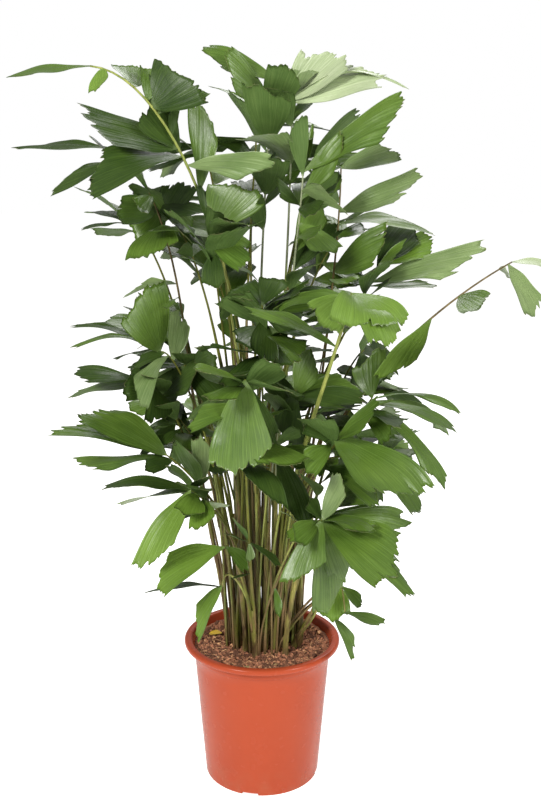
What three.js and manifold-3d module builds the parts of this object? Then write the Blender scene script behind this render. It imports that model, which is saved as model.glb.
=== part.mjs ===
// Potted clustering fishtail palm in a 27 cm plastic nursery pot.
// Millimetres and degrees, +Z up, origin at the middle of the pot's foot, front of the plant towards -Y.
import * as THREE from 'three';
import { mergeVertices } from 'three/addons/utils/BufferGeometryUtils.js';
import Module from 'manifold-3d';

const wasm = await Module();
wasm.setup();

// The front view that the plant was measured in, in pixels: the eye, how far it looks down, its focal length
// and its middle. A spot in it is px across, py down and the depth y in millimetres.
const view = { eye: [0, -1790, 1107], tilt: 13.6, focal: 1111, middle: [262, 400] };

// Driving dimensions of the pot.
const pot = {
  height: 252,
  rimRadius: 135,
  rimHeight: 11,
  bandRadius: 119.5,
  bandHeight: 13,
  bodyRadius: 117.6,
  footRadius: 99.5,
  footWidth: 11,
  footHeight: 5,
  padRadius: 30,
  wall: 2.4,
  sides: 36,
  notch: { width: 28, height: 10, turns: [-102, -12, 78, 168] },
};

// The compost fills the pot to a little under the rim.
const soil = { belowRim: 18, clearance: 0.3 };
const soilTop = pot.height - soil.belowRim;

// Where along a limb its bow is taken, to lay its sides square to the bow.
const bowAt = 0.6;

// Clearance between a foot and what it stands on, and the least gap between neighbouring fronds.
const footGap = 0.3;
const frondGap = 0.4;

// Canes rise upright from the compost and lean out as they climb. Each row is x, y of the foot, height.
const cane = { footRadius: 5.6, topRadius: 4.8, flare: 1.4, spread: 1.5, crook: 0.4, sides: 5, steps: 3 };
const canes = [
  [-60, 14, 215],
  [-46, -6, 260],
  [-28, -32, 185],
  [-12, -46, 96],
  [6, -26, 240],
  [24, -28, 205],
  [40, -42, 170],
  [-28, 6, 300],
  [-6, 8, 320],
  [16, 4, 290],
  [50, 10, 250],
  [56, -14, 62],
  [-52, 44, 240],
  [-22, 40, 300],
  [6, 38, 310],
  [34, 44, 270],
  [-6, 72, 220],
  [-34, 78, 200],
];

// A petiole and rachis is one tapering stalk that leaves its cane upright and arches over to its tip.
const stalk = { footRadius: 3.3, tipRadius: 2.3, rise: 0.33, seat: 4.4, sides: 3, steps: 6 };

// A leaflet is a wedge that opens from its foot, sunk in the rachis, to a ragged end.
const leaflet = {
  sunk: 0.3,
  thickness: 0.0108,
  leastThickness: 1.1,
  shoulder: 0.56,
  shoulderWidth: 0.8,
  margin: 0.8,
  skew: [0.3, 1],
  skewMargin: 0.17,
  skewTip: 0.5,
  bentFrom: 24,
  longFrom: 130,
  outward: 0.3,
  leastTurn: 0.02,
};

// Search for the roll at which a leaflet shows as wide as it was seen. A wrong face costs as much as some
// pixels of width, and of near rolls the least is taken.
const rollSearch = { most: 90, step: 2, wrongFace: 4, perDegree: 0.01 };

// Leaflets that the rule adds along a rachis, between two places on it.
const rule = {
  from: 0.56,
  to: 0.98,
  length: [100, 160],
  width: [0.44, 0.64],
  turn: [28, 82],
  rise: [-34, 30],
  climb: 0.3,
  scatter: [0.1, 0.9],
  roll: 32,
  sag: [8, 46],
};

// Tries in order until a leaflet is clear: a turn of roll, a turn of heading, a share of the length and
// how much further its end lies from the viewpoint. A measured leaflet first keeps its end in the same line
// of sight.
const ruledTries = [
  [0, 0, 1, 0],
  [14, 0, 1, 0],
  [-14, 0, 1, 0],
  [0, 10, 0.94, 0],
  [0, -10, 0.94, 0],
  [24, 16, 0.84, 0],
  [-24, -16, 0.84, 0],
  [40, 0, 0.72, 0],
  [-40, 0, 0.72, 0],
];
const measuredTries = [[0, 0, 1, 0]];
for (const depth of [0, 26, -26, 52, -52, 80, -80]) {
  for (const roll of depth === 0 ? [12, -12] : [0, 12, -12]) {
    measuredTries.push([roll, 0, 1, depth]);
  }
}
measuredTries.push(...ruledTries.slice(3));

// Moves of a stalk's two middle points, sideways and up, that are tried in order until it is clear.
const stalkTries = [[0, 0]];
for (const reach of [8, 15, 23, 32, 42, 54]) {
  for (let turn = 0; turn < 2 * Math.PI; turn += Math.PI / 4) {
    stalkTries.push([reach * Math.cos(turn), reach * Math.sin(turn)]);
  }
}

// Fronds. bend and tip are spots in the front view and shape the arch. Each leaflet has its place on the
// rachis from 0 to 1, the spot where its far end is seen, its width, the width that it shows in pixels or
// else its roll, and its sag. A tail draws out one side of its end, the left if negative, up to 1. more is
// how many leaflets the rule adds.
const fronds = [
  {
    name: 'frond_left_tall',
    cane: 8,
    bend: [191, 74, -70],
    tip: [90, 66, -60],
    leaflets: [
      { at: 1, seen: [-1, 74, -60], width: 36, shows: 9, sag: 8, tail: 0.8 },
      { at: 0.96, seen: [97, 92, -85], width: 38, shows: 20, sag: 10 },
      { at: 0.85, seen: [131, 62, -10], width: 66, shows: 38, sag: 8 },
      { at: 0.78, seen: [193, 72, -70], width: 104, shows: 58, sag: 14, tail: 0.8 },
      { at: 0.7, seen: [174, 103, -30], width: 24, shows: 12, sag: 0 },
      { at: 0.66, seen: [141, 100, -30], width: 76, shows: 40, sag: 8 },
      { at: 0.67, seen: [72, 119, -70], width: 84, shows: 38, sag: 8, tail: 0.9 },
      { at: 0.65, seen: [74, 186, -120], width: 84, shows: 36, sag: 40, tail: -0.9 },
      { at: 0.63, seen: [276, 165, -110], width: 56, shows: 28, sag: 22 },
      { at: 0.57, seen: [204, 97, -10], width: 54, shows: 30, sag: 6 },
      { at: 0.76, seen: [208, 85, -60], width: 50, shows: 26, sag: 8, tail: 0.8 },
      { at: 0.8, seen: [152, 68, -40], width: 44, shows: 24, sag: 6, tail: -0.8 },
    ],
    more: 0,
  },
  {
    name: 'frond_left_second',
    cane: 0,
    bend: [191, 223, 10],
    tip: [122, 150, 10],
    leaflets: [
      { at: 1, seen: [9, 139, 10], width: 40, shows: 10, sag: 4, tail: -0.5 },
      { at: 0.96, seen: [50, 190, 50], width: 36, shows: 12, sag: 16 },
      { at: 0.93, seen: [90, 194, 20], width: 50, shows: 18, sag: 24 },
      { at: 0.79, seen: [112, 212, -20], width: 62, shows: 34, sag: 24 },
      { at: 0.75, seen: [150, 262, -60], width: 78, shows: 44, sag: 34 },
      { at: 0.8, seen: [203, 215, -30], width: 44, shows: 20, sag: 20 },
      { at: 0.86, seen: [192, 232, 20], width: 46, shows: 24, sag: 16 },
      { at: 0.76, seen: [187, 176, 0], width: 60, shows: 34, sag: 6 },
    ],
    more: 1,
  },
  {
    name: 'frond_left_third',
    cane: 7,
    bend: [199, 228, 50],
    tip: [158, 200, 50],
    leaflets: [
      { at: 0.95, seen: [128, 238, -20], width: 84, shows: 50, sag: 36, tail: -0.8 },
      { at: 0.85, seen: [236, 232, 20], width: 60, roll: 30, sag: 20 },
    ],
    more: 4,
  },
  {
    name: 'frond_top_middle',
    cane: 8,
    bend: [262, 215, 0],
    tip: [273, 78, 0],
    leaflets: [
      { at: 1, seen: [199, 49, -20], width: 50, shows: 25, sag: 16 },
      { at: 0.93, seen: [222, 56, -60], width: 60, shows: 32, sag: 12, tail: 0.8 },
      { at: 0.84, seen: [266, 78, -75], width: 74, roll: 0, sag: 8 },
      { at: 0.82, seen: [225, 84, 40], width: 42, roll: 50, sag: 4 },
      { at: 0.8, seen: [312, 136, -60], width: 34, roll: 0, sag: 20 },
    ],
    more: 4,
  },
  {
    name: 'frond_top_pale',
    cane: 9,
    bend: [293, 165, 0],
    tip: [292, 98, -10],
    leaflets: [
      { at: 1, seen: [292, 62, 20], width: 92, shows: 48, sag: 6, tail: -0.8 },
      { at: 0.99, seen: [345, 52, -20], width: 80, shows: 36, sag: 8, tail: 0.4 },
      { at: 0.98, seen: [388, 66, -40], width: 84, shows: 40, sag: 20, tail: 0.8 },
      { at: 1, seen: [416, 87, -50], width: 22, roll: 4, sag: 70, tail: 0.6 },
      { at: 0.9, seen: [312, 93, 30], width: 30, shows: 10, sag: 6 },
      { at: 0.98, seen: [322, 57, 5], width: 84, shows: 44, sag: 8, tail: -0.8 },
    ],
    more: 3,
  },
  {
    name: 'frond_top_right',
    cane: 4,
    bend: [301, 235, -40],
    tip: [303, 172, -40],
    leaflets: [
      { at: 1, seen: [414, 96, -80], width: 66, shows: 34, sag: 14, tail: -0.8 },
      { at: 0.88, seen: [349, 135, -70], width: 44, shows: 24, sag: 10, tail: -0.8 },
      { at: 0.98, seen: [297, 112, -50], width: 34, shows: 18, sag: 8 },
      { at: 0.8, seen: [334, 258, -60], width: 50, shows: 28, sag: 16 },
      { at: 0.86, seen: [272, 182, -60], width: 30, shows: 14, sag: 8 },
      { at: 0.98, seen: [316, 118, -30], width: 14, shows: 6, sag: 0 },
    ],
    more: 2,
  },
  {
    name: 'frond_right_upright',
    cane: 10,
    bend: [340, 247, 10],
    tip: [341, 168, 10],
    leaflets: [
      { at: 1, seen: [404, 149, 0], width: 54, shows: 26, sag: 8, tail: 0.8 },
      { at: 0.84, seen: [432, 180, -30], width: 62, shows: 30, sag: 14, tail: -0.6 },
      { at: 0.76, seen: [369, 226, 60], width: 34, shows: 14, sag: 12 },
      { at: 0.8, seen: [433, 229, 40], width: 46, shows: 14, sag: 40 },
      { at: 0.66, seen: [390, 234, -60], width: 62, shows: 34, sag: 8 },
      { at: 0.92, seen: [322, 190, 40], width: 30, shows: 14, sag: 8 },
    ],
    more: 2,
  },
  {
    name: 'frond_right_pale',
    cane: 15,
    bend: [362, 306, 40],
    tip: [379, 265, 20],
    leaflets: [
      { at: 0.88, seen: [492, 254, -30], width: 60, shows: 26, sag: 20, tail: -0.8 },
      { at: 0.86, seen: [441, 286, 50], width: 28, shows: 8, sag: 6 },
      { at: 1, seen: [438, 238, 40], width: 58, shows: 26, sag: 16 },
      { at: 0.9, seen: [347, 280, 60], width: 30, shows: 12, sag: 10 },
    ],
    more: 3,
  },
  {
    name: 'frond_right_far',
    cane: 10,
    bend: [428, 308, -70],
    tip: [512, 262, -60],
    leaflets: [
      { at: 1, seen: [572, 272, -80], width: 40, shows: 10, sag: 34 },
      { at: 0.985, seen: [538, 319, -120], width: 56, shows: 24, sag: 16 },
      { at: 0.95, seen: [508, 275, 10], width: 24, shows: 8, sag: 8 },
      { at: 0.8, seen: [484, 308, -130], width: 60, shows: 34, sag: 16 },
      { at: 0.7, seen: [384, 386, -110], width: 56, shows: 26, sag: 12, tail: 1 },
    ],
    more: 0,
  },
  {
    name: 'frond_right_middle',
    cane: 5,
    bend: [349, 432, -100],
    tip: [372, 398, -90],
    leaflets: [
      { at: 1, seen: [369, 348, -50], width: 62, shows: 34, sag: 6 },
      { at: 0.98, seen: [472, 420, -60], width: 18, shows: 5, sag: 70, tail: -0.6 },
      { at: 0.97, seen: [461, 440, 20], width: 32, shows: 12, sag: 56, tail: -0.8 },
      { at: 0.95, seen: [461, 437, -90], width: 46, shows: 13, sag: 50 },
      { at: 0.88, seen: [397, 441, -160], width: 50, shows: 26, sag: 50 },
      { at: 0.92, seen: [447, 494, -150], width: 46, shows: 16, sag: 56 },
    ],
    more: 2,
  },
  {
    name: 'frond_front_arching',
    cane: 5,
    bend: [329, 384, -240],
    tip: [352, 293, -190],
    leaflets: [
      { at: 1, seen: [397, 348, -245], width: 104, shows: 48, sag: 60, tail: 0.5 },
      { at: 0.985, seen: [317, 328, -235], width: 76, shows: 42, sag: 50, tail: -0.5 },
      { at: 0.98, seen: [266, 303, -110], width: 44, roll: -30, sag: 24 },
      { at: 0.8, seen: [240, 298, -190], width: 38, roll: -40, sag: 14 },
      { at: 0.9, seen: [326, 322, -120], width: 44, roll: 0, sag: 8 },
      { at: 0.99, seen: [362, 334, -272], width: 104, shows: 52, sag: 60, tail: 0.6 },
    ],
    more: 2,
  },
  {
    name: 'frond_front_middle',
    cane: 3,
    bend: [243, 380, -170],
    tip: [245, 380, -200],
    leaflets: [
      { at: 1, seen: [240, 481, -235], width: 96, shows: 58, sag: 22, tail: 0.4 },
      { at: 0.94, seen: [277, 450, -160], width: 50, roll: 20, sag: 10 },
      { at: 0.9, seen: [200, 424, -120], width: 60, roll: 20, sag: 30 },
    ],
    more: 2,
  },
  {
    name: 'frond_front_right',
    cane: 6,
    bend: [328, 452, -150],
    tip: [334, 438, -170],
    leaflets: [
      { at: 1, seen: [420, 504, -250], width: 128, shows: 60, sag: 26, tail: -0.8 },
      { at: 0.97, seen: [306, 418, -190], width: 50, shows: 26, sag: 10 },
    ],
    more: 2,
  },
  {
    name: 'frond_front_low_right',
    cane: 6,
    bend: [312, 520, -140],
    tip: [322, 520, -190],
    leaflets: [
      { at: 1, seen: [346, 474, -190], width: 40, shows: 22, sag: 4 },
      { at: 0.98, seen: [308, 498, -170], width: 30, shows: 14, sag: 4 },
      { at: 0.97, seen: [420, 528, -150], width: 66, shows: 36, sag: 24, tail: -0.8 },
      { at: 0.99, seen: [404, 572, -270], width: 108, shows: 60, sag: 22, tail: 0.4 },
      { at: 0.98, seen: [298, 588, -235], width: 66, shows: 36, sag: 18 },
      { at: 0.975, seen: [352, 584, -200], width: 60, shows: 38, sag: 14 },
      { at: 0.98, seen: [430, 592, -290], width: 60, shows: 34, sag: 24, tail: 0.8 },
      { at: 0.97, seen: [330, 620, -215], width: 56, shows: 32, sag: 12, tail: 0.4 },
    ],
    more: 1,
  },
  {
    name: 'frond_low_right',
    cane: 11,
    bend: [338, 530, -80],
    tip: [345, 612, -110],
    leaflets: [
      { at: 0.5, seen: [337, 625, -130], width: 56, shows: 32, sag: 14 },
      { at: 0.86, seen: [365, 608, -130], width: 28, shows: 13, sag: 6 },
      { at: 1, seen: [388, 626, -120], width: 30, shows: 12, sag: 14 },
    ],
    more: 0,
  },
  {
    name: 'frond_rim_right',
    cane: 11,
    bend: [316, 586, -40],
    tip: [334, 618, -90],
    leaflets: [
      { at: 1, seen: [361, 659, -112], width: 32, shows: 16, sag: 10 },
    ],
    more: 0,
  },
  {
    name: 'frond_front_hanging',
    cane: 4,
    bend: [275, 431, -110],
    tip: [276, 450, -130],
    leaflets: [
      { at: 1, seen: [302, 532, -150], width: 62, roll: 0, sag: 14 },
      { at: 0.95, seen: [322, 466, -100], width: 56, roll: 20, sag: 20 },
    ],
    more: 3,
  },
  {
    name: 'frond_left_middle',
    cane: 1,
    bend: [178, 345, -20],
    tip: [160, 352, 0],
    leaflets: [
      { at: 1, seen: [140, 287, -30], width: 100, shows: 54, sag: 6 },
      { at: 0.99, seen: [68, 327, 40], width: 28, shows: 9, sag: 50, tail: -0.6 },
      { at: 0.98, seen: [64, 343, -20], width: 30, shows: 8, sag: 60, tail: -0.8 },
      { at: 0.97, seen: [112, 354, 40], width: 24, shows: 5, sag: 10 },
      { at: 0.92, seen: [130, 364, -20], width: 34, shows: 14, sag: 8 },
      { at: 0.86, seen: [136, 414, -120], width: 46, shows: 22, sag: 52, tail: -0.8 },
      { at: 0.8, seen: [183, 308, 0], width: 44, shows: 24, sag: 4 },
    ],
    more: 0,
  },
  {
    name: 'frond_left_under',
    cane: 0,
    bend: [172, 390, -10],
    tip: [148, 383, -20],
    leaflets: [
      { at: 1, seen: [64, 372, -30], width: 50, shows: 14, sag: 24 },
      { at: 0.97, seen: [62, 401, 30], width: 44, shows: 12, sag: 30 },
      { at: 0.9, seen: [158, 428, -90], width: 50, shows: 26, sag: 30 },
      { at: 0.8, seen: [200, 372, 10], width: 56, shows: 30, sag: 10 },
    ],
    more: 3,
  },
  {
    name: 'frond_left_bright',
    cane: 2,
    bend: [190, 470, -70],
    tip: [165, 454, -70],
    leaflets: [
      { at: 1, seen: [38, 423, -105], width: 50, shows: 20, sag: 24, tail: -0.8 },
      { at: 0.98, seen: [78, 402, -85], width: 76, shows: 38, sag: 20, tail: -0.6 },
      { at: 0.99, seen: [64, 468, -60], width: 40, shows: 14, sag: 2 },
      { at: 0.9, seen: [142, 467, -110], width: 44, shows: 20, sag: 10 },
    ],
    more: 0,
  },
  {
    name: 'frond_left_low',
    cane: 2,
    bend: [198, 492, -100],
    tip: [190, 489, -110],
    leaflets: [
      { at: 1, seen: [100, 495, -130], width: 50, roll: -12, sag: 50 },
      { at: 0.97, seen: [146, 577, -175], width: 64, shows: 30, sag: 34, tail: 0.8 },
      { at: 0.7, seen: [213, 509, -60], width: 40, shows: 20, sag: 10 },
    ],
    more: 2,
  },
  {
    name: 'frond_low_left',
    cane: 3,
    bend: [229, 538, -90],
    tip: [225, 547, -110],
    leaflets: [
      { at: 1, seen: [150, 588, -160], width: 70, shows: 34, sag: 40, tail: -0.6 },
      { at: 0.97, seen: [251, 569, -120], width: 34, shows: 18, sag: 20 },
    ],
    more: 0,
  },
  {
    name: 'frond_rim_left',
    cane: 3,
    bend: [225, 554, -95],
    tip: [222, 587, -115],
    leaflets: [
      { at: 1, seen: [141, 587, -110], width: 42, roll: 8, sag: 18 },
      { at: 0.98, seen: [188, 636, -150], width: 50, roll: 0, sag: 12 },
    ],
    more: 0,
  },
  {
    name: 'frond_inner_left',
    cane: 12,
    bend: [196, 360, 30],
    tip: [184, 366, 0],
    leaflets: [
      { at: 1, seen: [152, 412, 10], width: 56, shows: 30, sag: 20 },
      { at: 0.95, seen: [226, 404, -40], width: 62, shows: 34, sag: 20 },
      { at: 0.85, seen: [216, 352, -20], width: 50, shows: 26, sag: 14 },
    ],
    more: 8,
  },
  {
    name: 'frond_inner_front',
    cane: 7,
    bend: [214, 262, -40],
    tip: [210, 232, -50],
    leaflets: [
      { at: 1, seen: [248, 180, -60], width: 96, shows: 54, sag: 14 },
      { at: 0.94, seen: [254, 262, -80], width: 66, shows: 36, sag: 20 },
      { at: 0.86, seen: [216, 292, -90], width: 50, shows: 26, sag: 20 },
      { at: 0.98, seen: [204, 182, -30], width: 34, shows: 16, sag: 6 },
    ],
    more: 8,
  },
  {
    name: 'frond_inner_middle',
    cane: 8,
    bend: [268, 330, -60],
    tip: [262, 305, -80],
    leaflets: [
      { at: 1, seen: [278, 274, -90], width: 50, shows: 26, sag: 10 },
      { at: 0.97, seen: [234, 282, -80], width: 62, shows: 34, sag: 14 },
      { at: 0.9, seen: [304, 330, -60], width: 54, shows: 30, sag: 20 },
      { at: 0.85, seen: [262, 366, -110], width: 56, shows: 30, sag: 20 },
      { at: 0.94, seen: [322, 296, -60], width: 50, shows: 26, sag: 10 },
      { at: 0.8, seen: [238, 346, -70], width: 50, shows: 28, sag: 10 },
      { at: 0.76, seen: [296, 368, -80], width: 50, shows: 28, sag: 10 },
      { at: 0.46, seen: [367, 402, -75], width: 92, shows: 42, sag: 12, tail: -0.6 },
    ],
    more: 9,
  },
  {
    name: 'frond_inner_low',
    cane: 5,
    bend: [292, 405, -80],
    tip: [296, 390, -100],
    leaflets: [
      { at: 1, seen: [286, 452, -110], width: 56, shows: 30, sag: 20 },
      { at: 0.9, seen: [316, 350, -90], width: 60, shows: 32, sag: 10 },
    ],
    more: 8,
  },
  {
    name: 'frond_inner_right',
    cane: 10,
    bend: [345, 362, -20],
    tip: [364, 350, -20],
    leaflets: [
      { at: 0.95, seen: [372, 396, -60], width: 70, roll: 0, sag: 8 },
      { at: 0.8, seen: [344, 374, 30], width: 30, roll: 20, sag: 10 },
    ],
    more: 8,
  },
  {
    name: 'frond_inner_flank',
    cane: 12,
    bend: [194, 432, 20],
    tip: [176, 416, 30],
    leaflets: [
      { at: 0.85, seen: [190, 474, -40], width: 60, shows: 32, sag: 20 },
      { at: 1, seen: [150, 446, 20], width: 50, shows: 26, sag: 20 },
    ],
    more: 6,
  },
];

// The fronds behind are spread evenly round the back. Each row is the cane, heading, reach and tip height.
const backFronds = [
  [12, 168, 235, 960],
  [17, 140, 250, 760],
  [13, 122, 205, 1080],
  [17, 104, 260, 560],
  [13, 92, 190, 1140],
  [16, 76, 265, 820],
  [14, 60, 215, 1060],
  [16, 118, 225, 900],
  [15, 30, 255, 700],
  [14, 44, 200, 930],
  [15, 12, 220, 560],
];
const backFrond = { more: 9, bendReach: 0.72, bendRise: 0.02 };

// Gaps in the crown that stay open from front to back over this depth, and keep their outline as seen from
// the eye. Each row is the left, right, top and bottom edge in the front view.
const gapDepth = 640;
const gaps = [
  [265, 289, 200, 288],
  [197, 211, 170, 194],
  [188, 214, 284, 338],
  [343, 376, 168, 204],
  [338, 354, 240, 262],
  [337, 361, 334, 374],
  [90, 184, 266, 282],
  [402, 480, 336, 384],
  [48, 124, 352, 366],
  [60, 140, 240, 262],
  [216, 240, 104, 134],
  [300, 330, 101, 124],
  [92, 118, 290, 305],
  [394, 424, 298, 314],
];

// A small seeded generator, so that every run draws the same numbers. Each leaflet has a seed of its own.
const seeds = { perFrond: 100, ruledFrom: 50 };

function seededRandom(seed) {
  let state = seed >>> 0;
  return (low, high) => {
    state = (state + 0x6d2b79f5) >>> 0;
    let mixed = state;
    mixed = Math.imul(mixed ^ (mixed >>> 15), mixed | 1);
    mixed ^= mixed + Math.imul(mixed ^ (mixed >>> 7), mixed | 61);
    return low + ((high - low) * ((mixed ^ (mixed >>> 14)) >>> 0)) / 4294967296;
  };
}

const radians = THREE.MathUtils.degToRad;
const up = new THREE.Vector3(0, 0, 1);
const viewpoint = new THREE.Vector3(...view.eye);
const lookDown = { cos: Math.cos(radians(view.tilt)), sin: Math.sin(radians(view.tilt)) };

function lerp(from, to, share) {
  return from + (to - from) * share;
}

// A spot in the front view as a point in millimetres, and a point as where the front view shows it.
function pointAt([px, py, y]) {
  const rise = (view.middle[1] - py) / view.focal;
  const away = (y - viewpoint.y) / (lookDown.cos + rise * lookDown.sin);
  const x = (away * (px - view.middle[0])) / view.focal;
  return new THREE.Vector3(x, y, viewpoint.z + away * (rise * lookDown.cos - lookDown.sin));
}

function pixelAt(point) {
  const forward = point.y - viewpoint.y;
  const above = point.z - viewpoint.z;
  const away = forward * lookDown.cos - above * lookDown.sin;
  const rise = forward * lookDown.sin + above * lookDown.cos;
  const scale = view.focal / away;
  return new THREE.Vector2(view.middle[0] + scale * point.x, view.middle[1] - scale * rise);
}

// Closed geometry to a solid and back. Only the positions are kept, so that shared corners merge.
function solidOf(geometry) {
  geometry.deleteAttribute('normal');
  geometry.deleteAttribute('uv');
  const merged = mergeVertices(geometry, 1e-4);
  return new wasm.Manifold(
    new wasm.Mesh({
      numProp: 3,
      vertProperties: new Float32Array(merged.attributes.position.array),
      triVerts: new Uint32Array(merged.index.array),
    }),
  );
}

function geometryOf(solid) {
  const mesh = solid.getMesh();
  const geometry = new THREE.BufferGeometry();
  geometry.setAttribute('position', new THREE.BufferAttribute(new Float32Array(mesh.vertProperties), 3));
  geometry.setIndex(new THREE.BufferAttribute(new Uint32Array(mesh.triVerts), 1));
  geometry.computeVertexNormals();
  return geometry;
}

// Moves every corner of a plain geometry to where place says.
function shaped(geometry, place) {
  const corners = geometry.attributes.position;
  const corner = new THREE.Vector3();
  for (let i = 0; i < corners.count; i += 1) {
    corner.fromBufferAttribute(corners, i);
    const placed = place(corner);
    corners.setXYZ(i, placed.x, placed.y, placed.z);
  }
  return geometry;
}

// Tapering limb: a cylinder bent along a curve.
function bentLimb(curve, radiusAt, sides, steps) {
  const start = curve.getPoint(0);
  const square = curve.getPoint(1).sub(start).cross(curve.getPoint(bowAt).sub(start));
  if (square.length() < 1) square.set(0, 1, 0);
  square.normalize();
  return shaped(new THREE.CylinderGeometry(1, 1, 1, sides, steps), (corner) => {
    const t = corner.y + 0.5;
    const along = curve.getTangent(t);
    const side = square.clone().addScaledVector(along, -square.dot(along)).normalize();
    const other = side.clone().cross(along);
    const radius = radiusAt(t);
    const across = side.multiplyScalar(corner.x * radius);
    return curve.getPoint(t).add(across).addScaledVector(other, corner.z * radius);
  });
}

// A place on the middle line of a bent limb, which runs straight between its steps.
function placeOn(curve, at, steps) {
  const step = Math.min(Math.floor(at * steps), steps - 1);
  return curve.getPoint(step / steps).lerp(curve.getPoint((step + 1) / steps), at * steps - step);
}

// Outline of a leaflet, from the point of its foot to its ragged end, which is cut askew. A long or bent one
// has shoulders too.
function leafletOutline(width, length, skew, bent) {
  const half = width / 2;
  const right = length * (leaflet.margin + leaflet.skewMargin * skew);
  const left = length * (leaflet.margin - leaflet.skewMargin * skew);
  const tip = [half * leaflet.skewTip * skew, length];
  const shoulder = half * leaflet.shoulderWidth;
  const rightSide = bent ? [[shoulder, right * leaflet.shoulder], [half, right]] : [[half, right]];
  const leftSide = bent ? [[-half, left], [-shoulder, left * leaflet.shoulder]] : [[-half, left]];
  return [[0, -leaflet.sunk], ...rightSide, tip, ...leftSide];
}

// The way along a leaflet, out of its upper face and to its right hand.
function bladeFrame(base, tip, roll) {
  const along = tip.clone().sub(base).normalize();
  const outward = new THREE.Vector3((base.x + tip.x) / 2, (base.y + tip.y) / 2, 0).normalize();
  const level = outward.multiplyScalar(leaflet.outward).add(along).setZ(0);
  const face = level.cross(up).cross(along).normalize().applyAxisAngle(along, radians(roll));
  return { along, face, side: along.clone().cross(face) };
}

// How a leaflet shows in the front view: its width in pixels, negative where its right hand is seen on the
// left, and whether its upper face shows.
function leafletSeen(base, tip, width, roll) {
  const { face, side } = bladeFrame(base, tip, roll);
  const middle = base.clone().lerp(tip, leaflet.margin);
  const left = pixelAt(middle.clone().addScaledVector(side, -width / 2));
  const right = pixelAt(middle.clone().addScaledVector(side, width / 2));
  const axis = pixelAt(tip).sub(pixelAt(base)).normalize();
  return { across: axis.cross(right.sub(left)), upper: face.dot(viewpoint.clone().sub(middle)) > 0 };
}

function rollShowing(base, tip, width, shows) {
  let best = { cost: Infinity };
  for (let roll = -rollSearch.most; roll <= rollSearch.most; roll += rollSearch.step) {
    const seen = leafletSeen(base, tip, width, roll);
    const missed = Math.abs(Math.abs(seen.across) - shows);
    const cost = missed + (seen.upper ? 0 : rollSearch.wrongFace) + Math.abs(roll) * rollSearch.perDegree;
    if (cost < best.cost) best = { cost, roll };
  }
  return best.roll;
}

// One leaflet as a thin solid wedge from base to tip, swollen by a margin for a clearance test.
function leafletBlade(base, tip, width, roll, sag, skew, margin) {
  const { along, face, side } = bladeFrame(base, tip, roll);
  const length = base.distanceTo(tip);
  const turn = Math.max(radians(sag), leaflet.leastTurn);
  const radius = length / (2 * Math.sin(turn / 2));
  const bent = sag > leaflet.bentFrom || length > leaflet.longFrom;
  const outline = leafletOutline(width + 2 * margin, length + margin, skew, bent);
  const shape = new THREE.Shape(outline.map(([x, y]) => new THREE.Vector2(x, y)));
  const thickness = Math.max(leaflet.leastThickness, leaflet.thickness * length) + 2 * margin;
  const plate = new THREE.ExtrudeGeometry(shape, { depth: thickness, bevelEnabled: false });
  return shaped(plate, (corner) => {
    const angle = turn * (0.5 - corner.y / length);
    const forward = radius * (Math.sin(turn / 2) - Math.sin(angle));
    const lift = radius * (Math.cos(angle) - Math.cos(turn / 2));
    const outside = corner.z - thickness / 2;
    return base
      .clone()
      .addScaledVector(along, forward - outside * Math.sin(angle))
      .addScaledVector(face, lift + outside * Math.cos(angle))
      .addScaledVector(side, corner.x);
  });
}

// Placed solids, each with the box round it, that a new piece must keep clear of.
const placed = new Map();

function place(name, solid) {
  const geometry = geometryOf(solid);
  geometry.computeBoundingBox();
  placed.set(name, { solid, box: geometry.boundingBox });
}

function meet(probe, solid) {
  const shared = probe.intersect(solid);
  const found = !shared.isEmpty();
  shared.delete();
  return found;
}

function isClear(geometry, ownName) {
  geometry.computeBoundingBox();
  const probe = solidOf(geometry);
  for (const [name, other] of placed) {
    const near = name !== ownName && geometry.boundingBox.intersectsBox(other.box);
    if (near && meet(probe, other.solid)) {
      probe.delete();
      return false;
    }
  }
  probe.delete();
  return true;
}

// A gap as a block that narrows towards the viewpoint.
function gapBlock([left, right, top, bottom]) {
  const low = pointAt([left, bottom, 0]);
  const high = pointAt([right, top, 0]);
  const block = new THREE.BoxGeometry(high.x - low.x, gapDepth, high.z - low.z);
  const middle = low.lerp(high, 0.5);
  return solidOf(
    shaped(block, (corner) => {
      const nearness = (corner.y - viewpoint.y) / -viewpoint.y;
      const along = corner.clone().setY(0).add(middle).sub(viewpoint);
      return along.multiplyScalar(nearness).add(viewpoint);
    }),
  );
}

const gapBlocks = gaps.map(gapBlock);

function staysOutOfGaps(geometry) {
  const probe = solidOf(geometry);
  const crossing = gapBlocks.some((block) => meet(probe, block));
  probe.delete();
  return !crossing;
}

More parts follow.
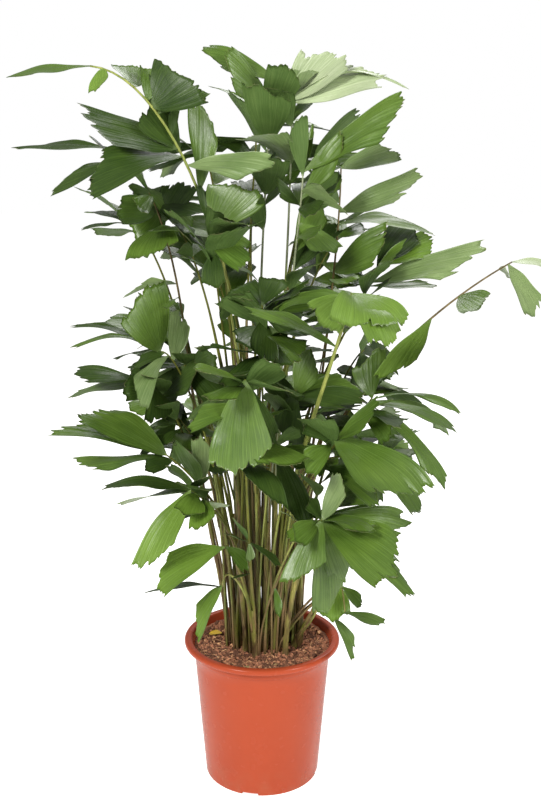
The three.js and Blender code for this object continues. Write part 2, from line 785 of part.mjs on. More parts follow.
// Pot: a turned shell with a rolled rim, which stands on a notched foot ring and a flat pad in its middle.
function makePot() {
  const rim = pot.rimRadius;
  const lip = pot.height - pot.rimHeight;
  const band = lip - pot.bandHeight;
  const inner = pot.bodyRadius - pot.wall;
  const footInner = pot.footRadius - pot.footWidth;
  const outline = [
    [0, 0],
    [pot.padRadius, 0],
    [pot.padRadius + 4, pot.footHeight],
    [footInner - 2, pot.footHeight],
    [footInner, 0],
    [pot.footRadius - 1.5, 0],
    [pot.footRadius, 1.5],
    [pot.bodyRadius, band - 3],
    [pot.bandRadius, band],
    [pot.bandRadius + 0.5, lip],
    [rim - 3, lip],
    [rim, lip + 2.5],
    [rim, pot.height - 3],
    [rim - 2.5, pot.height],
    [rim - 9, pot.height],
    [pot.bandRadius - 1, pot.height - 7],
    [inner, band],
    [pot.footRadius - pot.wall, pot.footHeight + pot.wall],
    [0, pot.footHeight + pot.wall],
  ];
  const profile = outline.map(([x, y]) => new THREE.Vector2(x, y));
  const shell = new THREE.LatheGeometry(profile, pot.sides);
  shell.rotateX(Math.PI / 2);
  let solid = solidOf(shell);
  for (const turn of pot.notch.turns) {
    const cutter = new THREE.BoxGeometry(pot.notch.width, 3 * pot.footWidth, 2 * pot.notch.height);
    cutter.translate(0, -pot.footRadius, -pot.notch.height + pot.footHeight - 0.5);
    cutter.rotateZ(radians(turn));
    solid = solid.subtract(solidOf(cutter));
  }
  return solid;
}

// Compost: a plug that follows the inside of the pot, with a level top.
function makeSoil() {
  const low = pot.footHeight + pot.wall + soil.clearance;
  const band = pot.height - pot.rimHeight - pot.bandHeight;
  const insideAt = (z) => {
    const share = (z - pot.footHeight - pot.wall) / (band - pot.footHeight - pot.wall);
    return lerp(pot.footRadius, pot.bodyRadius, share) - pot.wall - 2 * soil.clearance;
  };
  const profile = [
    [0, low],
    [insideAt(low), low],
    [insideAt(band), band],
    [insideAt(band), soilTop],
    [0, soilTop],
  ].map(([x, y]) => new THREE.Vector2(x, y));
  const plug = new THREE.LatheGeometry(profile, pot.sides);
  plug.rotateX(Math.PI / 2);
  return solidOf(plug);
}

// The curve of a cane: upright at its foot, leaning out by its top.
function caneCurve([x, y, height]) {
  const foot = new THREE.Vector3(x, y, soilTop + footGap);
  const top = new THREE.Vector3(x * cane.spread, y * cane.spread, soilTop + height);
  const low = foot.clone().setZ(foot.z + height / 3);
  const high = top.clone().lerp(foot, cane.crook).setZ(top.z - height / 3);
  return new THREE.CubicBezierCurve3(foot, low, high, top);
}

function makeCane(row) {
  const radiusAt = (t) => (t === 0 ? cane.flare : 1) * lerp(cane.footRadius, cane.topRadius, t);
  return solidOf(bentLimb(caneCurve(row), radiusAt, cane.sides, cane.steps));
}

// The fronds whose arch was measured, with their spots as points.
function placedFrond(frond) {
  return { ...frond, bend: pointAt(frond.bend), tip: pointAt(frond.tip) };
}

// Fronds behind, worked out from their heading, reach and height.
function makeBackFrond([caneNumber, heading, reach, height], number) {
  const x = Math.cos(radians(heading)) * reach;
  const y = Math.sin(radians(heading)) * reach;
  const out = backFrond.bendReach;
  return {
    name: `frond_back_${number + 1}`,
    cane: caneNumber,
    bend: new THREE.Vector3(x * out, y * out, height * (1 + backFrond.bendRise)),
    tip: new THREE.Vector3(x, y, height),
    leaflets: [],
    more: backFrond.more,
  };
}

// Fronds that share a cane stand round its top, in the order of the ways they head.
function seatHeading(frond, sharing) {
  const top = caneCurve(canes[frond.cane]).getPoint(1);
  const headings = sharing.map(({ tip }) => Math.atan2(tip.y - top.y, tip.x - top.x));
  const ordered = [...headings].sort((low, high) => low - high);
  const step = (2 * Math.PI) / sharing.length;
  const start = ordered.reduce((sum, heading, index) => sum + heading - index * step, 0) / sharing.length;
  return start + ordered.indexOf(headings[sharing.indexOf(frond)]) * step;
}

// The curve of a stalk, which leaves its cane in line with it.
function stalkCurve(frond, sharing, [sideways, raised]) {
  const curve = caneCurve(canes[frond.cane]);
  const lean = curve.getTangent(1);
  const heading = seatHeading(frond, sharing);
  const side = new THREE.Vector3(Math.cos(heading), Math.sin(heading), 0);
  side.addScaledVector(lean, -side.dot(lean)).normalize();
  const foot = curve.getPoint(1).addScaledVector(lean, footGap);
  if (sharing.length > 1) foot.addScaledVector(side, stalk.seat);
  const { bend, tip } = frond;
  const move = tip.clone().sub(foot).cross(up).normalize().multiplyScalar(sideways);
  move.z += raised;
  const rise = foot.clone().addScaledVector(lean, stalk.rise * foot.distanceTo(tip));
  return new THREE.CubicBezierCurve3(foot, rise.add(move), bend.clone().add(move), tip);
}

// How far askew a leaflet's end is cut, to the left if negative.
function drawSkew(random) {
  const skew = random(-1, 1);
  return Math.sign(skew) * lerp(...leaflet.skew, Math.abs(skew));
}

// Leaflets of a frond whose far ends were measured.
function measuredLeaflets(frond, number, curve) {
  return frond.leaflets.map(({ at, seen, width, shows, roll, sag, tail }, index) => {
    const base = placeOn(curve, at, stalk.steps);
    const tip = pointAt(seen);
    const turned = roll ?? rollShowing(base, tip, width, shows);
    const hand = Math.sign(leafletSeen(base, tip, width, turned).across);
    const skew = tail ? tail * hand : drawSkew(seededRandom(number * seeds.perFrond + index));
    return { at, tip, width, roll: turned, sag, skew };
  });
}

// Leaflets that the rule adds to a frond, on either hand in turn.
function ruledLeaflets(frond, number, curve) {
  const rows = [];
  for (let k = 0; k < frond.more; k += 1) {
    const random = seededRandom(number * seeds.perFrond + seeds.ruledFrom + k);
    const at = lerp(rule.from, rule.to, (k + random(...rule.scatter)) / frond.more);
    const along = curve.getTangent(at);
    const hand = k % 2 === 0 ? 1 : -1;
    const heading = Math.atan2(along.y, along.x) + hand * radians(random(...rule.turn));
    const rise = radians(random(...rule.rise)) + Math.asin(along.z) * rule.climb;
    const length = random(...rule.length);
    const width = length * random(...rule.width);
    const tip = placeOn(curve, at, stalk.steps);
    tip.x += Math.cos(heading) * Math.cos(rise) * length;
    tip.y += Math.sin(heading) * Math.cos(rise) * length;
    tip.z += Math.sin(rise) * length;
    const roll = random(-rule.roll, rule.roll);
    rows.push({ at, tip, width, roll, sag: random(...rule.sag), skew: drawSkew(random) });
  }
  return rows;
}

// Far end of a leaflet turned about the upright through its base, drawn in, and moved along the line
// of sight.
function movedTip(base, tip, turn, share, depth) {
  const turned = tip.clone().sub(base).applyAxisAngle(up, radians(turn)).multiplyScalar(share).add(base);
  const sight = turned.clone().sub(viewpoint).normalize();
  return turned.addScaledVector(sight, depth);
}

const palette = {
  pot: { color: 0xc8573c, roughness: 0.45 },
  soil: { color: 0x4a2c20, roughness: 0.95 },
  cane: { color: 0x6b5a34, roughness: 0.7 },
  frond: { color: 0x3f6b2c, roughness: 0.5 },
};

const palm = new THREE.Group();

function addMesh(name, kind) {
  const material = new THREE.MeshStandardMaterial({ ...palette[kind], metalness: 0 });
  const mesh = new THREE.Mesh(geometryOf(placed.get(name).solid), material);
  mesh.name = name;
  palm.add(mesh);
}

place('pot', makePot());
addMesh('pot', 'pot');
place('soil', makeSoil());
addMesh('soil', 'soil');
canes.forEach((row, index) => {
  const name = `cane_${index + 1}`;
  place(name, makeCane(row));
  addMesh(name, 'cane');
});

const allFronds = [...fronds.map(placedFrond), ...backFronds.map(makeBackFrond)];
const curves = allFronds.map((frond) => {
  const sharing = allFronds.filter((other) => other.cane === frond.cane);
  const limb = (curve, margin) => {
    const radiusAt = (t) => lerp(stalk.footRadius, stalk.tipRadius, t) + margin;
    return bentLimb(curve, radiusAt, stalk.sides, stalk.steps);
  };
  const curve = stalkTries
    .map((moves) => stalkCurve(frond, sharing, moves))
    .find((tried) => {
      const clearOfOthers = isClear(limb(tried, frondGap), `cane_${frond.cane + 1}`);
      return clearOfOthers && isClear(limb(tried, 0), frond.name);
    });
  if (!curve) throw new Error(`no clear way for the stalk of ${frond.name}`);
  place(frond.name, solidOf(limb(curve, 0)));
  return curve;
});

// Sets leaflets on a frond one by one, each at the first try that is clear of every other frond. The rule's
// leaflets stay out of the gaps too.
function addLeaflets(frond, curve, rows, tries, mayCrossGaps) {
  let solid = placed.get(frond.name).solid;
  for (const row of rows) {
    const base = placeOn(curve, row.at, stalk.steps);
    for (const [roll, turn, share, depth] of tries) {
      const tip = movedTip(base, row.tip, turn, share, depth);
      const blade = (margin) =>
        leafletBlade(base, tip, row.width * share, row.roll + roll, row.sag, row.skew, margin);
      if (isClear(blade(frondGap), frond.name) && (mayCrossGaps || staysOutOfGaps(blade(0)))) {
        solid = solid.add(solidOf(blade(0)));
        break;
      }
    }
  }
  place(frond.name, solid);
}

allFronds.forEach((frond, number) => {
  addLeaflets(frond, curves[number], measuredLeaflets(frond, number, curves[number]), measuredTries, true);
});
allFronds.forEach((frond, number) => {
  addLeaflets(frond, curves[number], ruledLeaflets(frond, number, curves[number]), ruledTries, false);
  addMesh(frond.name, 'frond');
});

export default palm;
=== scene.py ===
import math

import bmesh
import bpy
import numpy as np
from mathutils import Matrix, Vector, kdtree, noise


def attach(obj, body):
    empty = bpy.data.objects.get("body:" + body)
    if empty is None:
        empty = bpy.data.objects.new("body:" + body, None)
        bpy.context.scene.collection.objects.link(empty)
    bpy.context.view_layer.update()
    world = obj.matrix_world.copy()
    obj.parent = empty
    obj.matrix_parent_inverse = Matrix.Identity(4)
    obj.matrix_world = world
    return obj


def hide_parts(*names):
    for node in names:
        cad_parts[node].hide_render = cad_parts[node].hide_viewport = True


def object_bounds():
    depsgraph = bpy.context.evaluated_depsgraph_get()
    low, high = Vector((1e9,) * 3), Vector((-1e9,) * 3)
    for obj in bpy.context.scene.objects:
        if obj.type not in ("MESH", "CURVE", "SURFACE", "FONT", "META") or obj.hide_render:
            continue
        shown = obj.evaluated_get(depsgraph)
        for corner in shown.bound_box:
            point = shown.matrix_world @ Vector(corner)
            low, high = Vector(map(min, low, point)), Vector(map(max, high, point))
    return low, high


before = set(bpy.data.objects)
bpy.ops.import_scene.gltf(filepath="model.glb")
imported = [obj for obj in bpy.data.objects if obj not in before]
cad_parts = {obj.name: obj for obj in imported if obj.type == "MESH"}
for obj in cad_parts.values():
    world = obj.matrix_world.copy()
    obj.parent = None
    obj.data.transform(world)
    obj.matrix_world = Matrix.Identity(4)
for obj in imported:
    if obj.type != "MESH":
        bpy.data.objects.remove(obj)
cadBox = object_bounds()
print("frame loaded:", len(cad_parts), "nodes")

mm = 0.001


# Numbers that come out the same on every run.
def seededRandom(seed):
    word = 0xFFFFFFFF
    state = seed & word

    def draw(low=0.0, high=1.0):
        nonlocal state
        state = (state + 0x6D2B79F5) & word
        mixed = ((state ^ (state >> 15)) * (state | 1)) & word
        mixed ^= (mixed + (mixed ^ (mixed >> 7)) * (mixed | 61)) & word
        return low + (high - low) * ((mixed ^ (mixed >> 14)) & word) / 2**32

    return draw


def unit(v):
    return v / max(np.linalg.norm(v), 1e-12)


def smoothStep(low, high, x):
    t = np.clip((x - low) / (high - low), 0, 1)
    return t * t * (3 - 2 * t)


# Camera, floor and light
# The front view that the plant was measured in, in pixels: the eye in millimetres, how far it looks down,
# its focal length and its middle. A spot in it is px across, py down and the depth y in millimetres.
view = dict(eye=(0, -1790, 1107), tilt=13.6, focal=1111, middle=(262, 400))
photo = dict(width=541, height=800, lens=50, sensor=36)
eye = np.array(view["eye"], float)
downTurn = math.radians(view["tilt"])


# A spot in the front view as a point in millimetres, and a point as where the front view shows it.
def pointAt(spot):
    px, py, y = spot
    rise = (view["middle"][1] - py) / view["focal"]
    away = (y - eye[1]) / (math.cos(downTurn) + rise * math.sin(downTurn))
    x = away * (px - view["middle"][0]) / view["focal"]
    return np.array([x, y, eye[2] + away * (rise * math.cos(downTurn) - math.sin(downTurn))])


def pixelAt(point):
    forward, above = point[1] - eye[1], point[2] - eye[2]
    scale = view["focal"] / (forward * math.cos(downTurn) - above * math.sin(downTurn))
    rise = forward * math.sin(downTurn) + above * math.cos(downTurn)
    return np.array([view["middle"][0] + scale * point[0], view["middle"][1] - scale * rise])


def makeCamera():
    data = bpy.data.cameras.new("camera")
    camera = bpy.data.objects.new("camera", data)
    bpy.context.scene.collection.objects.link(camera)
    camera.location = eye * mm
    camera.rotation_euler = (math.radians(90 - view["tilt"]), 0, 0)
    data.lens = photo["lens"]
    data.sensor_width = photo["sensor"]
    data.shift_x = (photo["width"] / 2 - view["middle"][0]) / photo["height"]
    bpy.context.scene.camera = camera


studio = dict(
    floorRadius=14, floorSides=64, floorSunk=0.0005, floorColour=(0.93, 0.925, 0.92), floorRough=0.8,
    floorGlow=0.78, floorMirrored=0.12,
    skyColour=(1.0, 1.0, 1.0), skySeen=1.0, skyLight=0.34,
    aim=(0, 0, 0.65),
    # place, size, power and colour of each soft light
    lights=[
        ((-1.9, -2.6, 2.6), 1.0, 132, (1.0, 0.99, 0.96)),
        ((2.3, -2.0, 1.9), 1.1, 70, (1.0, 1.0, 0.98)),
        ((0.4, 2.2, 2.8), 1.6, 34, (1.0, 1.0, 1.0)),
    ],
)


# The floor glows a little, so that it shows as pale as the room, but less in what mirrors it.
def makeFloor():
    place = (0, 0, -studio["floorSunk"])
    bpy.ops.mesh.primitive_circle_add(vertices=studio["floorSides"], radius=studio["floorRadius"],
                                      fill_type="NGON", location=place)
    floor = bpy.context.object
    floor.name = "floor"
    material, tree, shader = newMaterial("paleFloor")
    shader.inputs["Base Color"].default_value = (*studio["floorColour"], 1)
    shader.inputs["Roughness"].default_value = studio["floorRough"]
    shader.inputs["Emission Color"].default_value = (*studio["floorColour"], 1)
    rays = tree.nodes.new("ShaderNodeLightPath")
    glow = mapRange(tree, rays.outputs["Is Glossy Ray"], 0, 1, studio["floorGlow"], studio["floorMirrored"])
    tree.links.new(glow, shader.inputs["Emission Strength"])
    floor.data.materials.append(material)


# The room shows white and lights the plant a little less, so that the crown keeps its shade.
def makeRoom():
    world = bpy.data.worlds.new("softRoom")
    bpy.context.scene.world = world
    world.use_nodes = True
    tree = world.node_tree
    seen = tree.nodes["Background"]
    lit = tree.nodes.new("ShaderNodeBackground")
    for background, strength in ((seen, studio["skySeen"]), (lit, studio["skyLight"])):
        background.inputs["Color"].default_value = (*studio["skyColour"], 1)
        background.inputs["Strength"].default_value = strength
    path = tree.nodes.new("ShaderNodeLightPath")
    mix = tree.nodes.new("ShaderNodeMixShader")
    tree.links.new(path.outputs["Is Camera Ray"], mix.inputs[0])
    tree.links.new(lit.outputs[0], mix.inputs[1])
    tree.links.new(seen.outputs[0], mix.inputs[2])
    tree.links.new(mix.outputs[0], tree.nodes["World Output"].inputs["Surface"])


def makeLights():
    for number, (place, size, power, colour) in enumerate(studio["lights"]):
        data = bpy.data.lights.new(f"softLight{number + 1}", "AREA")
        data.size, data.energy, data.color = size, power, colour
        light = bpy.data.objects.new(data.name, data)
        light.location = place
        way = Vector(studio["aim"]) - Vector(place)
        light.rotation_euler = way.to_track_quat("-Z", "Y").to_euler()
        bpy.context.scene.collection.objects.link(light)


def makeStudio():
    bpy.context.scene.view_settings.view_transform = "Standard"
    makeFloor()
    makeRoom()
    makeLights()


# Materials
def newMaterial(name):
    material = bpy.data.materials.new(name)
    material.use_nodes = True
    tree = material.node_tree
    return material, tree, tree.nodes["Principled BSDF"]


def mixColour(tree, factor, first, second):
    mix = tree.nodes.new("ShaderNodeMix")
    mix.data_type = "RGBA"
    tree.links.new(factor, mix.inputs[0])
    for socket, value in ((mix.inputs[6], first), (mix.inputs[7], second)):
        if isinstance(value, tuple):
            socket.default_value = (*value, 1)
        else:
            tree.links.new(value, socket)
    return mix.outputs[2]


def mapRange(tree, value, fromLow, fromHigh, toLow=0, toHigh=1):
    node = tree.nodes.new("ShaderNodeMapRange")
    node.inputs["From Min"].default_value = fromLow
    node.inputs["From Max"].default_value = fromHigh
    node.inputs["To Min"].default_value = toLow
    node.inputs["To Max"].default_value = toHigh
    tree.links.new(value, node.inputs["Value"])
    return node.outputs["Result"]


def maths(tree, operation, first, second=None):
    node = tree.nodes.new("ShaderNodeMath")
    node.operation = operation
    for socket, value in zip(node.inputs, (first, second)):
        if isinstance(value, (int, float)):
            socket.default_value = value
        elif value is not None:
            tree.links.new(value, socket)
    return node.outputs[0]


def noiseAt(tree, scale, detail=3.0, stretch=(1, 1, 1), source="Object"):
    coordinates = tree.nodes.new("ShaderNodeTexCoord")
    mapping = tree.nodes.new("ShaderNodeMapping")
    mapping.inputs["Scale"].default_value = stretch
    tree.links.new(coordinates.outputs[source], mapping.inputs["Vector"])
    texture = tree.nodes.new("ShaderNodeTexNoise")
    texture.inputs["Scale"].default_value = scale
    texture.inputs["Detail"].default_value = detail
    tree.links.new(mapping.outputs["Vector"], texture.inputs["Vector"])
    return texture.outputs["Fac"]


# Height above the ground, in metres.
def heightAt(tree):
    coordinates = tree.nodes.new("ShaderNodeTexCoord")
    split = tree.nodes.new("ShaderNodeSeparateXYZ")
    tree.links.new(coordinates.outputs["Object"], split.inputs[0])
    return split.outputs["Z"]


def bumpFrom(tree, height, shader, strength, distance):
    bump = tree.nodes.new("ShaderNodeBump")
    bump.inputs["Strength"].default_value = strength
    bump.inputs["Distance"].default_value = distance
    tree.links.new(height, bump.inputs["Height"])
    tree.links.new(bump.outputs["Normal"], shader.inputs["Normal"])


# Leaf tones: the two greens that blend over a blade, the vein's, how rough it is and how much it shines. Deep
# is partly painted shade, and pale and grey are partly a painted sheen.
leafTones = dict(
    # deep: a dark green, also dealt as painted shade to leaflets that lie in shade
    deep=dict(low=(0.014, 0.033, 0.005), high=(0.041, 0.074, 0.011), vein=(0.056, 0.104, 0.016),
              rough=0.42, shine=0.45),
    mid=dict(low=(0.044, 0.090, 0.009), high=(0.093, 0.160, 0.020), vein=(0.125, 0.215, 0.040),
             rough=0.36, shine=0.8),
    fresh=dict(low=(0.084, 0.156, 0.014), high=(0.132, 0.224, 0.028), vein=(0.190, 0.310, 0.060),
               rough=0.38, shine=0.7),
    # pale: mostly a painted highlight, a whitish green for leaves that shine in strong light
    pale=dict(low=(0.250, 0.335, 0.150), high=(0.420, 0.490, 0.290), vein=(0.520, 0.580, 0.400),
              rough=0.42, shine=1.2),
    # grey: a grey-green, partly a painted bluish sheen
    grey=dict(low=(0.094, 0.155, 0.042), high=(0.190, 0.262, 0.098), vein=(0.230, 0.305, 0.130),
              rough=0.36, shine=0.8),
    under=dict(low=(0.050, 0.096, 0.020), high=(0.084, 0.142, 0.034), vein=(0.120, 0.180, 0.050),
               rough=0.52, shine=0.3),
    dry=dict(low=(0.220, 0.150, 0.060), high=(0.400, 0.310, 0.150), vein=(0.450, 0.370, 0.200),
             rough=0.75, shine=0.1),
    yellow=dict(low=(0.560, 0.330, 0.020), high=(0.720, 0.480, 0.040), vein=(0.760, 0.560, 0.120),
                rough=0.60, shine=0.3),
)
leafFinish = dict(
    streak=(0.55, 2.2, 1), blotch=16, blend=(0.36, 0.64),
    veinEvery=1.9, veinFrom=0.2, veinShare=0.17,
    ribEvery=(5.6, 8.9), ribFrom=0.7, ribShare=0.26, ribFade=(0.2, 1.6),
    footShare=0.3, footLength=0.14,
    rimColour=(0.300, 0.270, 0.130), rimShare=0.5, rimFrom=0.985, rimWear=60, rimWorn=(0.45, 0.6),
    speckle=240, speckleRange=(0.3, 0.7), roughSpread=(-0.06, 0.08),
    coat=0.21, coatRough=0.27, gloss=0.5,
    bump=0.45, bumpDepth=0.0005, wave=30, waveShare=8.0, crinkle=115, crinkleShare=1.5, ribRise=(0.1, 0.7),
)
streakRange = (0.4, 0.6)


# A line every so many millimetres across a blade.
def linesAcross(tree, across, every):
    return maths(tree, "SINE", maths(tree, "MULTIPLY", across, 2 * math.pi / every))


# Two greens in soft patches, fine veins, ribs that come and go, a pale foot and a worn rim.
def leafColour(tree, across, along, rib, streak, tone):
    finish = leafFinish
    patches = maths(tree, "ADD", maths(tree, "MULTIPLY", streak, 0.5),
                    maths(tree, "MULTIPLY", noiseAt(tree, finish["blotch"]), 0.5))
    body = mixColour(tree, mapRange(tree, patches, *finish["blend"]), tone["low"], tone["high"])
    vein = linesAcross(tree, across, finish["veinEvery"])
    veined = mixColour(tree, mapRange(tree, vein, finish["veinFrom"], 1, 0, finish["veinShare"]),
                       body, tone["vein"])
    ribShare = mapRange(tree, rib, finish["ribFrom"], 1, 0, finish["ribShare"])
    fading = maths(tree, "MULTIPLY", ribShare, mapRange(tree, streak, *streakRange, *finish["ribFade"]))
    ribbed = mixColour(tree, fading, veined, tone["vein"])
    foot = mapRange(tree, along, 0, finish["footLength"], finish["footShare"], 0)
    footed = mixColour(tree, foot, ribbed, leafTones["grey"]["vein"])
    rim = mapRange(tree, along, finish["rimFrom"], 1, 0, finish["rimShare"])
    worn = mapRange(tree, noiseAt(tree, finish["rimWear"], 2.0), *finish["rimWorn"])
    return mixColour(tree, maths(tree, "MULTIPLY", rim, worn), footed, finish["rimColour"])


def leafRelief(tree, rib, streak):
    finish = leafFinish
    wave = maths(tree, "MULTIPLY", noiseAt(tree, finish["wave"], 1.0), finish["waveShare"])
    crinkle = maths(tree, "MULTIPLY", noiseAt(tree, finish["crinkle"], 2.0), finish["crinkleShare"])
    ribbing = maths(tree, "MULTIPLY", rib, mapRange(tree, streak, *streakRange, *finish["ribRise"]))
    return maths(tree, "ADD", maths(tree, "ADD", wave, crinkle), ribbing)


def makeLeafMaterial(name, tone):
    finish = leafFinish
    material, tree, shader = newMaterial("leaf" + name.capitalize())
    uv = tree.nodes.new("ShaderNodeUVMap")
    split = tree.nodes.new("ShaderNodeSeparateXYZ")
    tree.links.new(uv.outputs["UV"], split.inputs[0])
    across, along = split.outputs["X"], split.outputs["Y"]
    rib = maths(tree, "MAXIMUM", *[linesAcross(tree, across, every) for every in finish["ribEvery"]])
    streak = noiseAt(tree, 1.0, 3.0, finish["streak"], "UV")
    tree.links.new(leafColour(tree, across, along, rib, streak, tone), shader.inputs["Base Color"])
    least, most = (tone["rough"] + spread for spread in finish["roughSpread"])
    speckle = noiseAt(tree, finish["speckle"], 2.0)
    roughness = mapRange(tree, speckle, *finish["speckleRange"], least, most)
    tree.links.new(roughness, shader.inputs["Roughness"])
    shader.inputs["Specular IOR Level"].default_value = finish["gloss"] * min(tone["shine"], 1)
    shader.inputs["Coat Weight"].default_value = finish["coat"] * tone["shine"]
    shader.inputs["Coat Roughness"].default_value = finish["coatRough"]
    bumpFrom(tree, leafRelief(tree, rib, streak), shader, finish["bump"], finish["bumpDepth"])
    return material


# Stalk tones: the two colours that run along it in streaks
stalkTones = dict(
    olive=((0.080, 0.090, 0.012), (0.150, 0.155, 0.020)),
    bright=((0.160, 0.200, 0.040), (0.330, 0.350, 0.090)),
    brown=((0.085, 0.060, 0.020), (0.200, 0.150, 0.060)),
    pale=((0.200, 0.235, 0.130), (0.330, 0.360, 0.220)),
)
stalkFinish = dict(
    streak=90, streakStretch=(1, 1, 0.08), streakRange=(0.35, 0.7),
    scurf=(0.085, 0.055, 0.022), scurfSize=160, scurfStretch=(1, 1, 0.35), scurfFrom=(0.60, 0.72),
    scurfShare=0.7, rough=0.45, gloss=0.22, bump=0.4, bumpDepth=0.0006,
    husk=(0.235, 0.150, 0.070), huskSize=55, huskStretch=(1, 1, 0.30), huskFrom=(0.38, 0.58),
    huskShare=1.1, huskTop=0.47,
)


# Streaks along the stalk, brown husk that fades upwards, and specks of scurf.
def makeStalkMaterial(name, tone):
    finish = stalkFinish
    material, tree, shader = newMaterial("stalk" + name.capitalize())
    streak = noiseAt(tree, finish["streak"], 3.0, finish["streakStretch"])
    base = mixColour(tree, mapRange(tree, streak, *finish["streakRange"]), *tone)
    low = mapRange(tree, heightAt(tree), soilTop * mm, finish["huskTop"], finish["huskShare"], 0)
    husks = noiseAt(tree, finish["huskSize"], 4.0, finish["huskStretch"])
    patches = mapRange(tree, husks, *finish["huskFrom"])
    husked = mixColour(tree, maths(tree, "MULTIPLY", low, patches), base, finish["husk"])
    scurf = noiseAt(tree, finish["scurfSize"], 4.0, finish["scurfStretch"])
    spots = mapRange(tree, scurf, *finish["scurfFrom"], 0, finish["scurfShare"])
    tree.links.new(mixColour(tree, spots, husked, finish["scurf"]), shader.inputs["Base Color"])
    shader.inputs["Roughness"].default_value = finish["rough"]
    shader.inputs["Specular IOR Level"].default_value = finish["gloss"]
    bumpFrom(tree, streak, shader, finish["bump"], finish["bumpDepth"])
    return material


caneFinish = dict(
    olive=(0.190, 0.180, 0.030), brown=(0.110, 0.062, 0.020), straw=(0.400, 0.310, 0.100),
    mottle=70, mottleStretch=(1, 1, 0.28), mottleRange=(0.42, 0.58),
    fibre=520, fibreStretch=(1, 1, 0.05), strawFrom=(0.52, 0.70), strawShare=0.75,
    rough=0.68, mottleRise=0.5, bump=0.7, bumpDepth=0.0012,
)


# Olive and brown sheaths with straw-coloured fibres.
def makeCaneMaterial():
    finish = caneFinish
    material, tree, shader = newMaterial("caneSheath")
    mottle = noiseAt(tree, finish["mottle"], 5.0, finish["mottleStretch"])
    fibre = noiseAt(tree, finish["fibre"], 3.0, finish["fibreStretch"])
    base = mixColour(tree, mapRange(tree, mottle, *finish["mottleRange"]), finish["olive"], finish["brown"])
    straws = mapRange(tree, fibre, *finish["strawFrom"], 0, finish["strawShare"])
    tree.links.new(mixColour(tree, straws, base, finish["straw"]), shader.inputs["Base Color"])
    shader.inputs["Roughness"].default_value = finish["rough"]
    height = maths(tree, "ADD", fibre, maths(tree, "MULTIPLY", mottle, finish["mottleRise"]))
    bumpFrom(tree, height, shader, finish["bump"], finish["bumpDepth"])
    return material


# Sizes of the solids, in millimetres, and the rules by which their leaflets were dealt
pot = dict(
    height=252, rimRadius=135, rimHeight=11, bandRadius=119.5, bandHeight=13, bodyRadius=117.6,
    footRadius=99.5, footWidth=11, footHeight=5, padRadius=30, wall=2.4, soilBelow=18,
    notchWidth=28, notchHeight=10, notchTurns=(-102, -12, 78, 168),
)
soilTop = pot["height"] - pot["soilBelow"]
footGap = 0.3  # between a limb's foot and what it stands on
bowAt = 0.6  # where on a stalk it is seen which way it bows
cane = dict(footRadius=5.6, topRadius=4.8, spread=1.5, crook=0.4)
stalk = dict(footRadius=3.3, tipRadius=2.3, rise=0.33, seat=4.4, sides=3, steps=6)
leaflet = dict(
    thickness=0.0108, leastThickness=1.1, margin=0.8, skew=(0.3, 1), skewMargin=0.17, skewTip=0.5,
    outward=0.3, leastTurn=0.02,
)
rollSearch = dict(most=90, step=2, wrongFace=4, perDegree=0.01)
rule = {
    "from": 0.56, "to": 0.98, "length": (100, 160), "width": (0.44, 0.64), "turn": (28, 82),
    "rise": (-34, 30), "climb": 0.3, "scatter": (0.1, 0.9), "roll": 32, "sag": (8, 46),
}
seeds = dict(perFrond=100, ruledFrom=50)
# Tries of a leaflet: a turn of roll, a turn of heading, a share of the length and a move in depth
ruledTries = [
    (0, 0, 1, 0), (14, 0, 1, 0), (-14, 0, 1, 0), (0, 10, 0.94, 0), (0, -10, 0.94, 0),
    (24, 16, 0.84, 0), (-24, -16, 0.84, 0), (40, 0, 0.72, 0), (-40, 0, 0.72, 0),
]
measuredTries = [(0, 0, 1, 0)] + [
    (roll, 0, 1, depth) for depth in (0, 26, -26, 52, -52, 80, -80)
    for roll in ((12, -12) if depth == 0 else (0, 12, -12))
] + ruledTries[3:]
stalkMoves = [(0, 0)] + [
    (reach * math.cos(k * math.pi / 4), reach * math.sin(k * math.pi / 4))
    for reach in (8, 15, 23, 32, 42, 54) for k in range(8)
]
# Canes: x and y of the foot, and the height
canes = [
    (-60, 14, 215), (-46, -6, 260), (-28, -32, 185), (-12, -46, 96), (6, -26, 240), (24, -28, 205),
    (40, -42, 170), (-28, 6, 300), (-6, 8, 320), (16, 4, 290), (50, 10, 250), (56, -14, 62),
    (-52, 44, 240), (-22, 40, 300), (6, 38, 310), (34, 44, 270), (-6, 72, 220), (-34, 78, 200),
]
